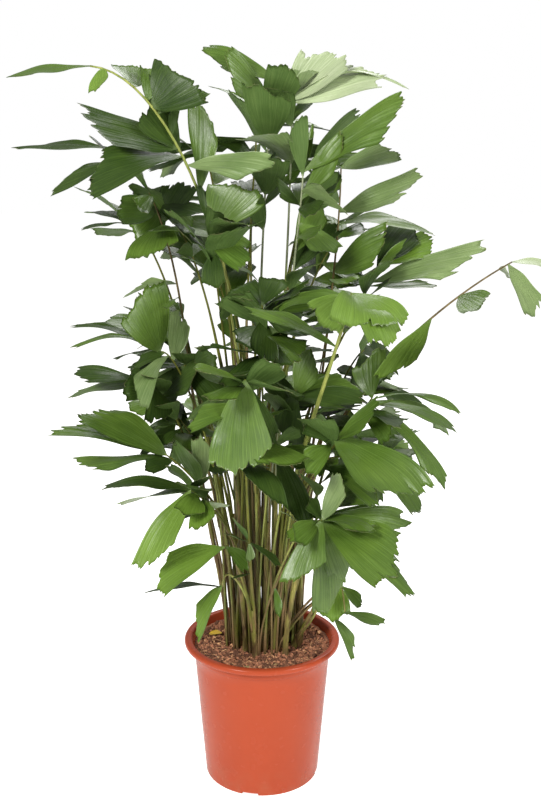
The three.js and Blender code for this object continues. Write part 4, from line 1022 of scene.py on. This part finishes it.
def gridQuads(columns, rows, start, flip):
    i, j = np.meshgrid(np.arange(columns), np.arange(rows), indexing="ij")
    a = start + (i * (rows + 1) + j).ravel()
    quads = np.stack([a, a + rows + 1, a + rows + 2, a + 1], axis=1)
    return quads[:, ::-1] if flip else quads


def rimQuads(columns, rows):
    line = [(i, 0) for i in range(columns)] + [(columns, j) for j in range(rows)]
    line += [(i, rows) for i in range(columns, 0, -1)] + [(0, j) for j in range(rows, 0, -1)]
    ring = np.array([i * (rows + 1) + j for i, j in line])
    under = ring + (columns + 1) * (rows + 1)
    return np.stack([ring, under, np.roll(under, -1), np.roll(ring, -1)], axis=1)


underTones = dict(pale="pale", grey="grey", dry="dry")  # the others have the tone "under" on their lower face


# How far each point of a blade stands out of its plane, for ribs, a hollow, fluttering edges and a droop.
def bladeRelief(places, reaches, length, width, random):
    shape = bladeShape
    rises = smoothStep(*shape["risesOver"], reaches)
    ribs = max(shape["leastRibs"], round(width / shape["ribEvery"]))
    height = random(*shape["ribHeight"])
    wander = shape["ribWander"] * np.sin(shape["wanderWaves"] * places + shape["wanderStart"] * random())
    out = height * np.cos(np.pi * ribs * (places + wander)) * rises
    hollow = shape["camber"] * random(*shape["camberSpread"]) * width
    out += hollow * (places**2 - shape["camberLow"]) * rises
    turns = shape["flutterTurns"] * reaches + random()
    wave = np.sin(2 * np.pi * turns + shape["flutterSlant"] * places)
    out += shape["flutter"] * length * wave * abs(places) * rises
    return out - random(*shape["droop"]) * length * reaches ** shape["droopPower"]


def addBlade(pile, path, row, tone, random):
    shape = bladeShape
    base = pointOn(path, row["at"])
    length, width = np.linalg.norm(row["tip"] - base), row["width"]
    columns = int(np.clip(round(width / shape["columnWidth"]), *shape["columns"]))
    rows = int(np.clip(round(length / shape["rowLength"]), *shape["rows"]))
    line = np.linspace(-1, 1, columns + 1)
    plain, ragged = raggedEnd(line, width, row["skew"], random)
    places, reaches = np.meshgrid(line, np.linspace(0, 1, rows + 1), indexing="ij")
    opening = np.sin(np.pi / 2 * reaches ** random(*shape["opening"]))
    across = places * np.maximum(width / 2 * opening, shape["footWidth"] / 2)
    short = (plain - ragged)[:, None] * reaches ** shape["endPower"]
    forth = length * (reaches * plain[:, None] - short)
    out = bladeRelief(places, reaches, length, width, random)
    turn = math.radians(random(-1, 1) * shape["twist"]) * (reaches - shape["twistFrom"])
    across, out = across * np.cos(turn) - out * np.sin(turn), across * np.sin(turn) + out * np.cos(turn)
    half = shape["thickness"] / 2
    skins = [onBlade(base, row["tip"], row["roll"], row["sag"], across, forth, out + lift)
             for lift in (half, -half)]
    points = np.concatenate([skin.reshape(-1, 3) for skin in skins])
    uv = np.stack([(places * width / 2).ravel(), reaches.ravel()], axis=1)
    top = gridQuads(columns, rows, 0, True)
    bottom = gridQuads(columns, rows, (columns + 1) * (rows + 1), False)
    rim = rimQuads(columns, rows)
    upper, lower = (toneNames.index(name) for name in (tone, underTones.get(tone, "under")))
    tones = np.repeat([upper, lower], [len(top), len(bottom) + len(rim)])
    addTo(pile, points, np.concatenate([top, bottom, rim]), tones, np.concatenate([uv, uv]))


# A pile gathers the points and quads of one mesh.
def newPile():
    return dict(points=[], uv=[], faces=[], tones=[], count=0)


def addTo(pile, points, quads, tones=0, uv=None):
    pile["points"].append(points)
    pile["faces"].append(quads + pile["count"])
    pile["tones"].append(np.broadcast_to(tones, len(quads)))
    if uv is not None:
        pile["uv"].append(uv)
    pile["count"] += len(points)


# Makes one Blender mesh of a pile of quads, from millimetres to metres.
def meshOf(name, pile, materials, smooth=True):
    points = np.concatenate(pile["points"]) * mm
    faces = np.concatenate(pile["faces"])
    corners = faces.ravel().astype(np.int32)
    mesh = bpy.data.meshes.new(name)
    mesh.vertices.add(len(points))
    mesh.vertices.foreach_set("co", points.ravel())
    mesh.loops.add(faces.size)
    mesh.loops.foreach_set("vertex_index", corners)
    mesh.polygons.add(len(faces))
    mesh.polygons.foreach_set("loop_start", np.arange(0, faces.size, faces.shape[1], dtype=np.int32))
    mesh.polygons.foreach_set("material_index", np.concatenate(pile["tones"]).astype(np.int32))
    if pile["uv"]:
        layer = mesh.uv_layers.new(name="UVMap")
        layer.data.foreach_set("uv", np.concatenate(pile["uv"])[corners].astype(np.float32).ravel())
    mesh.update(calc_edges=True)
    mesh.validate()
    mesh.polygons.foreach_set("use_smooth", [smooth] * len(mesh.polygons))
    for material in materials:
        mesh.materials.append(material)
    piece = bpy.data.objects.new(name, mesh)
    bpy.context.scene.collection.objects.link(piece)
    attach(piece, "root")
    triangles = len(faces) * (faces.shape[1] - 2)
    print(f"  {name}: {triangles} triangles")
    return piece


# Tones dealt to the leaflets that have none of their own
usualTones = ("deep", "mid", "mid", "deep", "mid", "fresh", "mid", "grey")
# The inner leaflets are dealt mostly the deep tone: painted shade for the inside of the crown.
innerShadeTones = ("deep", "deep", "mid")
bladeSeeds = dict(perFrond=1000, perLeaflet=7, first=3)
# The leaf pieces, each with the beginnings of the names of its fronds
leafPieces = dict(
    leavesLeft=("frond_left",), leavesTop=("frond_top",), leavesRight=("frond_right",),
    leavesFront=("frond_front",), leavesLow=("frond_low", "frond_rim"), leavesInner=("frond_inner",),
    leavesBack=("frond_back",),
)


# Each frond with the line of its stalk and the leaflets that its solid has.
def settleFronds():
    settled = []
    for number, frond in enumerate(allFronds):
        tries = [(shareFound(frond["name"], stalkCorners(stalkPath(frond, move))), -order, move)
                 for order, move in enumerate(stalkMoves)]
        share, _, move = max(tries)
        path = stalkPath(frond, move)
        rows = measuredRows(frond, number, path) + ruledRows(frond, number, path)
        found = [settledLeaflet(frond, path, row) for row in rows]
        kept = [row for row in found if row]
        settled.append(dict(frond=frond, number=number, path=path, rows=kept, share=share))
        if share < leastFound:
            print("  stalk not found in the solids:", frond["name"], round(share, 2))
    print("fronds settled:", sum(len(one["rows"]) for one in settled), "leaflets")
    return settled


# The blades of one frond, each in its own tone or in one dealt from the mix.
def addFrondBlades(pile, one, rows, mix):
    tones = one["frond"].get("tones", "").split()
    for index, row in enumerate(rows):
        own = index * bladeSeeds["perLeaflet"] + bladeSeeds["first"]
        random = seededRandom(one["number"] * bladeSeeds["perFrond"] + own)
        dealt = mix[int(random() * len(mix))]
        measured = row["measured"]
        known = measured is not None and measured < len(tones)
        addBlade(pile, one["path"], row, tones[measured] if known else dealt, random)


def makeLeaves(settled, materials):
    taken = TakenRoom(smallLeaflets["room"])
    for one in settled:
        for row in one["rows"]:
            taken.add(pointsOver(placeOn(one["path"], row["at"]), row))
    small = {one["number"]: smallRows(one["frond"], one["number"], one["path"], taken) for one in settled}
    print("small leaflets:", sum(len(rows) for rows in small.values()))
    for pieceName, starts in leafPieces.items():
        pile = newPile()
        members = [one for one in settled if one["frond"]["name"].startswith(starts)]
        # Painted shade: leaflets inside the crown get the darker mix.
        mix = innerShadeTones if pieceName == "leavesInner" else usualTones
        for one in members:
            addFrondBlades(pile, one, one["rows"] + small[one["number"]], mix)
        piece = meshOf(pieceName, pile, materials)
        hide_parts(*[one["frond"]["name"] for one in members])


# Quads between rings of points, one ring after another.
def ringQuads(count, sides):
    ring, corner = np.meshgrid(np.arange(count - 1), np.arange(sides), indexing="ij")
    a = (ring * sides + corner).ravel()
    b = (ring * sides + (corner + 1) % sides).ravel()
    return np.stack([a, b, b + sides, a + sides], axis=1)


# Round limbs: a tube of quads along points, closed at both ends by a point-like ring.
tubeShape = dict(firstSide=(0.31, 0.95, 0.05), closing=0.02)


def addTube(pile, points, radii, sides, tone=0):
    points = np.asarray(points, float)
    ways = np.gradient(points, axis=0)
    ways /= np.linalg.norm(ways, axis=1)[:, None]
    side = unit(np.cross(ways[0], tubeShape["firstSide"]))
    turns = np.arange(sides) * 2 * np.pi / sides
    rings = []
    for point, way, radius in zip(points, ways, radii):
        side = unit(side - way * side.dot(way))
        around = np.cos(turns)[:, None] * side + np.sin(turns)[:, None] * np.cross(way, side)
        rings.append(point + np.broadcast_to(radius, sides)[:, None] * around)
    first, last = (points[end] + tubeShape["closing"] * (rings[end] - points[end]) for end in (0, -1))
    rings = [first, *rings, last]
    addTo(pile, np.concatenate(rings), ringQuads(len(rings), sides), tone)


stalkShape = dict(
    sides=8, steps=26, footRadius=2.9, tipRadius=1.2, sheath=46, sheathRadius=1.2, sheathSteps=5,
)
stalkToneNames = list(stalkTones)


# The stalk, and below it the sheath by which it comes out of the cane.
def stalkPoints(path, lean):
    shape = stalkShape
    count = shape["sheathSteps"]
    below = [path[0] - lean * shape["sheath"] * (1 - k / count) for k in range(count)]
    above = pointOn(path, np.linspace(0, 1, shape["steps"] + 1))
    radii = np.concatenate([
        np.linspace(shape["sheathRadius"], shape["footRadius"], count),
        np.linspace(shape["footRadius"], shape["tipRadius"], shape["steps"] + 1),
    ])
    return np.concatenate([below, above]), radii


# Young stems that fill the clump, each from the compost to a stalk higher up.
shoots = dict(
    count=112, radius=(1.6, 3.2), taper=0.6, steps=18, sides=7, spread=(68, 56), middle=(2, 6), inner=0.05,
    sunk=3, goals=6, goalGather=6, at=(0.28, 0.62), lean=0.12, rise=0.45, droop=0.3,
    tones=("olive", "brown", "bright", "olive", "brown", "bright"), seed=9000, widthSeed=9500,
)


def shootPoints(number, settled):
    shape = shoots
    random = seededRandom(shape["seed"] + number)
    turn, reach = random(0, 2 * math.pi), math.sqrt(random(shape["inner"], 1))
    foot = np.array([shape["middle"][0] + math.cos(turn) * reach * shape["spread"][0],
                     shape["middle"][1] + math.sin(turn) * reach * shape["spread"][1],
                     soilTop - shape["sunk"]])
    ends = [one["path"][3][:2] / shape["goalGather"] - foot[:2] for one in settled]
    near = sorted(range(len(settled)), key=lambda index: np.linalg.norm(ends[index]))
    goal = settled[near[number % shape["goals"]]]["path"]
    top = pointOn(goal, random(*shape["at"]))
    height = top[2] - foot[2]
    low = foot + (foot[0] * shape["lean"], foot[1] * shape["lean"], height * shape["rise"])
    high = top - wayOn(goal, 0.5) * height * shape["droop"]
    return pointOn(np.array([foot, low, high, top]), np.linspace(0, 1, shape["steps"] + 1))


def makeStalks(settled, materials):
    pile = newPile()
    for one in settled:
        lean = wayOn(canePath(canes[one["frond"]["cane"]]), 1)
        points, radii = stalkPoints(one["path"], lean)
        tone = stalkToneNames.index(one["frond"].get("stalkTone", "olive"))
        addTube(pile, points, radii * one["frond"].get("stout", 1), stalkShape["sides"], tone)
    for number in range(shoots["count"]):
        points = shootPoints(number, settled)
        radius = seededRandom(shoots["widthSeed"] + number)(*shoots["radius"])
        radii = np.linspace(radius, radius * shoots["taper"], len(points))
        tone = stalkToneNames.index(shoots["tones"][number % len(shoots["tones"])])
        addTube(pile, points, radii, shoots["sides"], tone)
    piece = meshOf("stalks", pile, materials)
    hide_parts(*[one["frond"]["name"] for one in settled])


caneShape = dict(
    sides=14, step=4.0, sunk=4, slim=0.80, ringEvery=34, ringSpread=(0.8, 1.3), ringDepth=0.12,
    ridge=0.06, ridgeLow=0.4, foot=1.4, footHeight=9, seed=7000,
)


# The radii of a cane at each step and side. It tapers, swells at its leaf scars and its foot, and is ridged.
def caneRadii(height, t, random):
    shape = caneShape
    gap, start = shape["ringEvery"] * random(*shape["ringSpread"]), random(0, 1)
    saw = ((t * height / gap + start) % 1)[:, None]
    ridges = np.array([random(-1, 1) for _ in range(shape["sides"])]) * shape["ridge"]
    taper = shape["slim"] * (cane["footRadius"] + (cane["topRadius"] - cane["footRadius"]) * t)[:, None]
    scarred = taper * (1 + shape["ringDepth"] * (1 - saw) ** 3)
    ridged = scarred * (1 + ridges * (shape["ridgeLow"] + saw))
    return ridged * (1 + (shape["foot"] - 1) * np.exp(-t * height / shape["footHeight"]))[:, None]


def makeCanes(material):
    shape = caneShape
    pile = newPile()
    for number, row in enumerate(canes):
        height = row[2]
        path = canePath(row)
        path[0][2] -= shape["sunk"]
        t = np.linspace(0, 1, int(height / shape["step"]) + 3)
        addTube(pile, pointOn(path, t), caneRadii(height, t, seededRandom(shape["seed"] + number)),
                shape["sides"])
    piece = meshOf("canes", pile, [material])
    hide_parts(*[f"cane_{number + 1}" for number in range(len(canes))])


# Small leaves low among the stems, in pixels of the front view: the foot, then each end, width and tone
stemLeaves = dict(
    nearest=8, around=30, forward=8, roll=20, sag=6, skew=0.4, steps=40, perStep=8, seed=8500, perTuft=10,
    tufts=[
        ((256, 546), [((221, 533), 13, "deep"), ((234, 515), 10, "mid"), ((251, 563), 10, "grey"),
                      ((285, 565), 12, "deep")]),
        ((273, 595), [((281, 618), 9, "mid")]),
        ((246, 579), [((230, 578), 5, "deep")]),
        ((208, 492), [((176, 438), 26, "deep"), ((202, 430), 22, "grey")]),
    ],
)


# The foremost spot of a stem that shows within a few pixels of a place in the front view, and how far the
# stems round it come forward.
def stemSpot(place, lines):
    fine = np.linspace(0, 1, stemLeaves["perStep"], endpoint=False)[:, None, None]
    points = np.concatenate([((1 - fine) * line[:-1] + fine * line[1:]).reshape(-1, 3) for line in lines])
    seen = np.array([pixelAt(point) for point in points])
    away = np.linalg.norm(seen - place, axis=1)
    near, around = points[away < stemLeaves["nearest"]], points[away < stemLeaves["around"]]
    return near[np.argmin(near[:, 1])], around[:, 1].min()


def makeStemLeaves(settled, materials):
    shape = stemLeaves
    steps = np.linspace(0, 1, shape["steps"])
    lines = [pointOn(one["path"], steps) for one in settled]
    lines += [shootPoints(number, settled) for number in range(shoots["count"])]
    lines += [pointOn(canePath(row), steps) for row in canes]
    pile = newPile()
    for number, (place, leaves) in enumerate(shape["tufts"]):
        foot, front = stemSpot(place, lines)
        for k, (end, width, tone) in enumerate(leaves):
            tip = pointAt((*end, front - shape["forward"]))
            wide = width * np.linalg.norm(tip - eye) / view["focal"]
            random = seededRandom(shape["seed"] + number * shape["perTuft"] + k)
            roll = random(-shape["roll"], shape["roll"])
            row = dict(at=0.0, tip=tip, width=wide, roll=roll, sag=shape["sag"], skew=shape["skew"])
            addBlade(pile, np.array([foot] * 4), row, tone, random)
    piece = meshOf("leavesStem", pile, materials)


# Pot
potFinish = dict(
    clay=(0.352, 0.056, 0.021), dark=(0.240, 0.032, 0.012), cloud=7, cloudRange=(0.3, 0.7), darkShare=0.22,
    dust=(0.30, 0.11, 0.06), dustSize=46, dustFrom=(0.45, 0.75), dustShare=0.55, dustHeight=0.05,
    # the crease numbers set a thin ring of painted shade just under the band
    creaseBelow=1.5, creaseWide=0.0022, creaseShadeShare=0.5,
    rough=0.24, scuff=60, scuffRange=(0.3, 0.75), roughSpread=(-0.03, 0.05),
    gloss=0.30, sheen=(0.62, 0.55, 0.52), grain=900, bump=0.03, bumpDepth=0.0002,
)


# Plastic: a little cloudy and scuffed, dusty near the ground, and with painted shade: a darker line in the
# crease under the band.
def makePotMaterial():
    finish = potFinish
    material, tree, shader = newMaterial("terracottaPlastic")
    height = heightAt(tree)
    cloud = mapRange(tree, noiseAt(tree, finish["cloud"]), *finish["cloudRange"], 0, finish["darkShare"])
    base = mixColour(tree, cloud, finish["clay"], finish["dark"])
    specks = noiseAt(tree, finish["dustSize"], 5.0)
    dust = mapRange(tree, specks, *finish["dustFrom"], 0, finish["dustShare"])
    low = mapRange(tree, height, 0, finish["dustHeight"], 1, 0)
    dusty = mixColour(tree, maths(tree, "MULTIPLY", dust, low), base, finish["dust"])
    # Painted shade: a thin ring darkened just under the band's step, where the band shades the wall.
    crease = (pot["height"] - pot["rimHeight"] - pot["bandHeight"] - finish["creaseBelow"]) * mm
    off = maths(tree, "ABSOLUTE", maths(tree, "SUBTRACT", height, crease))
    shaded = mapRange(tree, off, 0, finish["creaseWide"], finish["creaseShadeShare"], 0)
    tree.links.new(mixColour(tree, shaded, dusty, finish["dark"]), shader.inputs["Base Color"])
    least, most = (finish["rough"] + spread for spread in finish["roughSpread"])
    scuff = noiseAt(tree, finish["scuff"], 1.0)
    roughness = mapRange(tree, scuff, *finish["scuffRange"], least, most)
    tree.links.new(roughness, shader.inputs["Roughness"])
    shader.inputs["Specular IOR Level"].default_value = finish["gloss"]
    shader.inputs["Specular Tint"].default_value = (*finish["sheen"], 1)
    bumpFrom(tree, noiseAt(tree, finish["grain"], 2.0), shader, finish["bump"], finish["bumpDepth"])
    return material


def arc(x, z, radius, startTurn, endTurn, steps):
    turns = np.radians(np.linspace(startTurn, endTurn, steps + 1))
    return [(x + radius * math.cos(turn), z + radius * math.sin(turn)) for turn in turns]


potShape = dict(
    segments=160, axis=0.01, padSlope=4, footSlope=2, footRound=1.5, wallSteps=14, wallEnd=3,
    bandStep=0.4, bandEdge=0.6, neck=((0.5, -1), (1.5, 0)), lipRound=5.0, lipWide=9,
    throat=((1, -8.5), (-2, -14)), cutterDepth=33, cutterDrop=0.5, sharpFrom=32, mergeWithin=2e-5,
)


# The pot's section, as radius and height: up the outside from the pad, over the lip and down the inside.
def potOutline():
    shape, height, foot, band = potShape, pot["height"], pot["footRadius"], pot["bandRadius"]
    lip = height - pot["rimHeight"]
    bandFoot = lip - pot["bandHeight"]
    innerFoot, floor = foot - pot["footWidth"], pot["footHeight"] + pot["wall"]
    edge, bend = shape["footRound"], shape["lipRound"]
    pad, hollow = pot["padRadius"], pot["footHeight"]
    line = [(shape["axis"], 0), (pad, 0), (pad + shape["padSlope"], hollow),
            (innerFoot - shape["footSlope"], hollow), (innerFoot, 0), (foot - edge, 0)]
    line += arc(foot - edge, edge, edge, -60, 0, 3)
    for share in np.linspace(0, 1, shape["wallSteps"] + 1)[1:]:
        radius = foot + (pot["bodyRadius"] - foot) * share
        line.append((radius, edge + (bandFoot - shape["wallEnd"] - edge) * share))
    line += [(band - shape["bandStep"], bandFoot - shape["bandEdge"]), (band, bandFoot + shape["bandEdge"])]
    line += [(band + out, lip + up) for out, up in shape["neck"]]
    line += arc(pot["rimRadius"] - bend, lip + bend, bend, -90, 0, 5)
    line += arc(pot["rimRadius"] - bend, height - bend, bend, 0, 90, 5)
    line += arc(pot["rimRadius"] - shape["lipWide"], height - bend, bend, 90, 150, 4)
    line += [(band + out, height + up) for out, up in shape["throat"]]
    line += [(pot["bodyRadius"] - pot["wall"], bandFoot), (foot - pot["wall"], floor)]
    return np.array([*line, (shape["axis"], floor)])


def lathe(outline, segments):
    pile = newPile()
    turns = np.arange(segments) * 2 * np.pi / segments
    x, z = outline[:, 0], outline[:, 1]
    heights = np.repeat(z[:, None], segments, 1)
    rings = np.stack([x[:, None] * np.cos(turns), x[:, None] * np.sin(turns), heights], 2)
    addTo(pile, rings.reshape(-1, 3), ringQuads(len(outline), segments))
    return pile


# The small rings on the axis become one point each.
def closeEnds(mesh):
    work = bmesh.new()
    work.from_mesh(mesh)
    bmesh.ops.remove_doubles(work, verts=work.verts, dist=potShape["mergeWithin"])
    bmesh.ops.recalc_face_normals(work, faces=work.faces)
    work.to_mesh(mesh)
    work.free()


def makeCutter(turn):
    bpy.ops.mesh.primitive_cube_add(size=1)
    cutter = bpy.context.object
    spin, out = math.radians(turn), pot["footRadius"] * mm
    up = (pot["footHeight"] - pot["notchHeight"] - potShape["cutterDrop"]) * mm
    cutter.location = (out * math.sin(spin), -out * math.cos(spin), up)
    cutter.rotation_euler = (0, 0, spin)
    cutter.scale = np.array([pot["notchWidth"], potShape["cutterDepth"], 2 * pot["notchHeight"]]) * mm
    return cutter


# Cuts the four notches of the foot ring.
def cutNotches(piece):
    cutters = [makeCutter(turn) for turn in pot["notchTurns"]]
    for cutter in cutters:
        modifier = piece.modifiers.new("notch", "BOOLEAN")
        modifier.object, modifier.operation, modifier.solver = cutter, "DIFFERENCE", "EXACT"
    bpy.context.view_layer.update()
    evaluated = piece.evaluated_get(bpy.context.evaluated_depsgraph_get())
    cut = bpy.data.meshes.new_from_object(evaluated)
    piece.modifiers.clear()
    piece.data = cut
    for cutter in cutters:
        bpy.data.objects.remove(cutter, do_unlink=True)


def makePot(material):
    piece = meshOf("potShell", lathe(potOutline(), potShape["segments"]), [material])
    closeEnds(piece.data)
    cutNotches(piece)
    piece.data.shade_smooth()
    piece.data.set_sharp_from_angle(angle=math.radians(potShape["sharpFrom"]))
    piece.data.materials.clear()
    piece.data.materials.append(material)
    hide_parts("pot")


# Compost
soilFinish = dict(
    brown=(0.500, 0.212, 0.112), dark=(0.125, 0.050, 0.026), tan=(0.880, 0.520, 0.260),
    grain=260, grainRange=(0.35, 0.65), rough=0.92, bump=0.9, bumpDepth=0.0015,
)
soilShape = dict(
    rings=46, segments=150, clear=0.3, axis=0.02, rough=2.6, lump=16, slice=3.1, mound=6, moundWide=60,
    sunk=2, heap=6.5, heapFrom=0.62, heapOut=3.0, seed=41,
)
soilRadius = pot["bodyRadius"] - pot["wall"] - 2 * soilShape["clear"]


def makeSoilMaterial(name, low, high):
    finish = soilFinish
    material, tree, shader = newMaterial(name)
    grain = noiseAt(tree, finish["grain"], 5.0)
    mixed = mixColour(tree, mapRange(tree, grain, *finish["grainRange"]), low, high)
    tree.links.new(mixed, shader.inputs["Base Color"])
    shader.inputs["Roughness"].default_value = finish["rough"]
    bumpFrom(tree, grain, shader, finish["bump"], finish["bumpDepth"])
    return material


# The compost is lumpy, heaped in the middle and again against the pot's wall.
def soilHeight(x, y):
    shape = soilShape
    bumps = noise.fractal(Vector((x / shape["lump"], y / shape["lump"], shape["slice"])), 1.0, 2.0, 4)
    heap = shape["heap"] * smoothStep(shape["heapFrom"], 1.0, math.hypot(x, y) / pot["bodyRadius"])
    mound = shape["mound"] * math.exp(-(x * x + y * y) / shape["moundWide"] ** 2)
    return soilTop + bumps * shape["rough"] + heap + mound - shape["sunk"]


# A spot drawn evenly from a disc.
def spotWithin(draw, radius):
    turn, reach = draw.uniform(0, 2 * math.pi), math.sqrt(draw.uniform(0, 1)) * radius
    return reach * math.cos(turn), reach * math.sin(turn)


def makeCompost(material):
    shape = soilShape
    low, lowRadius = pot["footHeight"] + pot["wall"] + shape["clear"], pot["footRadius"] - pot["wall"]
    radii = np.linspace(shape["axis"], soilRadius, shape["rings"])
    outline = np.stack([np.append(radii, [lowRadius - 2 * shape["clear"], shape["axis"]]),
                        np.append(np.full(len(radii), soilTop), [low, low])], axis=1)
    pile = lathe(outline, shape["segments"])
    top = pile["points"][0][: shape["rings"] * shape["segments"]]
    top[:, 2] = [soilHeight(x, y) for x, y, _ in top]
    top[-shape["segments"]:, :2] *= 1 + shape["heapOut"] / soilRadius
    piece = meshOf("compost", pile, [material])
    closeEnds(piece.data)
    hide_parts("soil")


crumbShape = dict(
    count=5200, size=(1.0, 4.8), smallMore=2.5, edge=4, flat=(0.35, 1.0), worn=(0.75, 1.0), lift=0.25,
    tanShare=0.035, darkShare=0.45,
)


# Crumbs are worn boxes of every turn, most of them small.
def makeCrumbs(draw, materials):
    shape = crumbShape
    pile = newPile()
    box = np.array([(x, y, z) for x in (-1, 1) for y in (-1, 1) for z in (-1, 1)], float)
    sides = np.array([(0, 1, 3, 2), (4, 6, 7, 5), (0, 4, 5, 1), (2, 3, 7, 6), (0, 2, 6, 4), (1, 5, 7, 3)])
    least, most = shape["size"]
    for _ in range(shape["count"]):
        x, y = spotWithin(draw, soilRadius - shape["edge"])
        size = least + (most - least) * draw.uniform() ** shape["smallMore"]
        spin = np.linalg.qr(draw.normal(size=(3, 3)))[0]
        corners = box * draw.uniform(*shape["flat"], 3) * draw.uniform(*shape["worn"], (8, 1)) * size
        tone = 2 if draw.uniform() < shape["tanShare"] else int(draw.uniform() < shape["darkShare"])
        addTo(pile, corners @ spin.T + (x, y, soilHeight(x, y) + size * shape["lift"]), sides, tone)
    piece = meshOf("compostCrumbs", pile, materials, smooth=False)


fibreShape = dict(
    count=420, edge=12, length=(6, 22), lift=(0.5, 3.5), above=0.8, bow=0.35, points=5, sides=4,
    radius=(0.25, 0.6),
)


# Fibres are short bowed hairs, whose middles stand off the compost.
def makeFibres(draw, material):
    shape = fibreShape
    pile = newPile()
    steps = np.linspace(-0.5, 0.5, shape["points"])
    for _ in range(shape["count"]):
        x, y = spotWithin(draw, soilRadius - shape["edge"])
        way, length = draw.uniform(0, 2 * math.pi), draw.uniform(*shape["length"])
        lift, bow = draw.uniform(*shape["lift"]), draw.uniform(-shape["bow"], shape["bow"])
        line = []
        for step in steps:
            across = x + length * (step * math.cos(way) - bow * step * step * math.sin(way))
            along = y + length * (step * math.sin(way) + bow * step * step * math.cos(way))
            rise = shape["above"] + lift * (0.25 - step * step) * 4
            line.append((across, along, soilHeight(across, along) + rise))
        addTube(pile, line, np.full(shape["points"], draw.uniform(*shape["radius"])), shape["sides"])
    piece = meshOf("compostFibres", pile, [material])


def makeSoil(materials):
    draw = np.random.default_rng(soilShape["seed"])
    makeCompost(materials[0])
    makeCrumbs(draw, materials)
    makeFibres(draw, materials[2])


# Fallen bits of leaf on the compost: x, y, heading, length, width and tone of each
fallenBits = dict(
    above=3, rise=1.5, roll=8, sag=24, skew=0.4, seed=8000,
    bits=[(-94, 26, 20, 24, 15, "yellow"), (18, -84, 20, 16, 7, "dry"), (-30, -92, 320, 14, 6, "dry")],
)


def makeFallenBits(materials):
    shape = fallenBits
    pile = newPile()
    for number, (x, y, heading, length, width, tone) in enumerate(shape["bits"]):
        way = math.radians(heading)
        foot = np.array([x, y, soilHeight(x, y) + shape["above"]])
        tip = foot + (length * math.cos(way), length * math.sin(way), shape["rise"])
        row = dict(at=0.0, tip=tip, width=width, roll=shape["roll"], sag=shape["sag"], skew=shape["skew"])
        addBlade(pile, np.array([foot] * 4), row, tone, seededRandom(shape["seed"] + number))
    piece = meshOf("fallenLeafBits", pile, materials)


makeCamera()
makeStudio()
print("camera and studio ready")
leafMaterials = [makeLeafMaterial(name, tone) for name, tone in leafTones.items()]
settledFronds = settleFronds()
makeLeaves(settledFronds, leafMaterials)
makeStalks(settledFronds, [makeStalkMaterial(name, tone) for name, tone in stalkTones.items()])
makeCanes(makeCaneMaterial())
makeStemLeaves(settledFronds, leafMaterials)
print("plant made")
makePot(makePotMaterial())
soilMaterials = [
    makeSoilMaterial("compostBrown", soilFinish["dark"], soilFinish["brown"]),
    makeSoilMaterial("compostDark", soilFinish["dark"], soilFinish["dark"]),
    makeSoilMaterial("compostTan", soilFinish["brown"], soilFinish["tan"]),
]
makeSoil(soilMaterials)
makeFallenBits(leafMaterials)
print("pot and compost made")
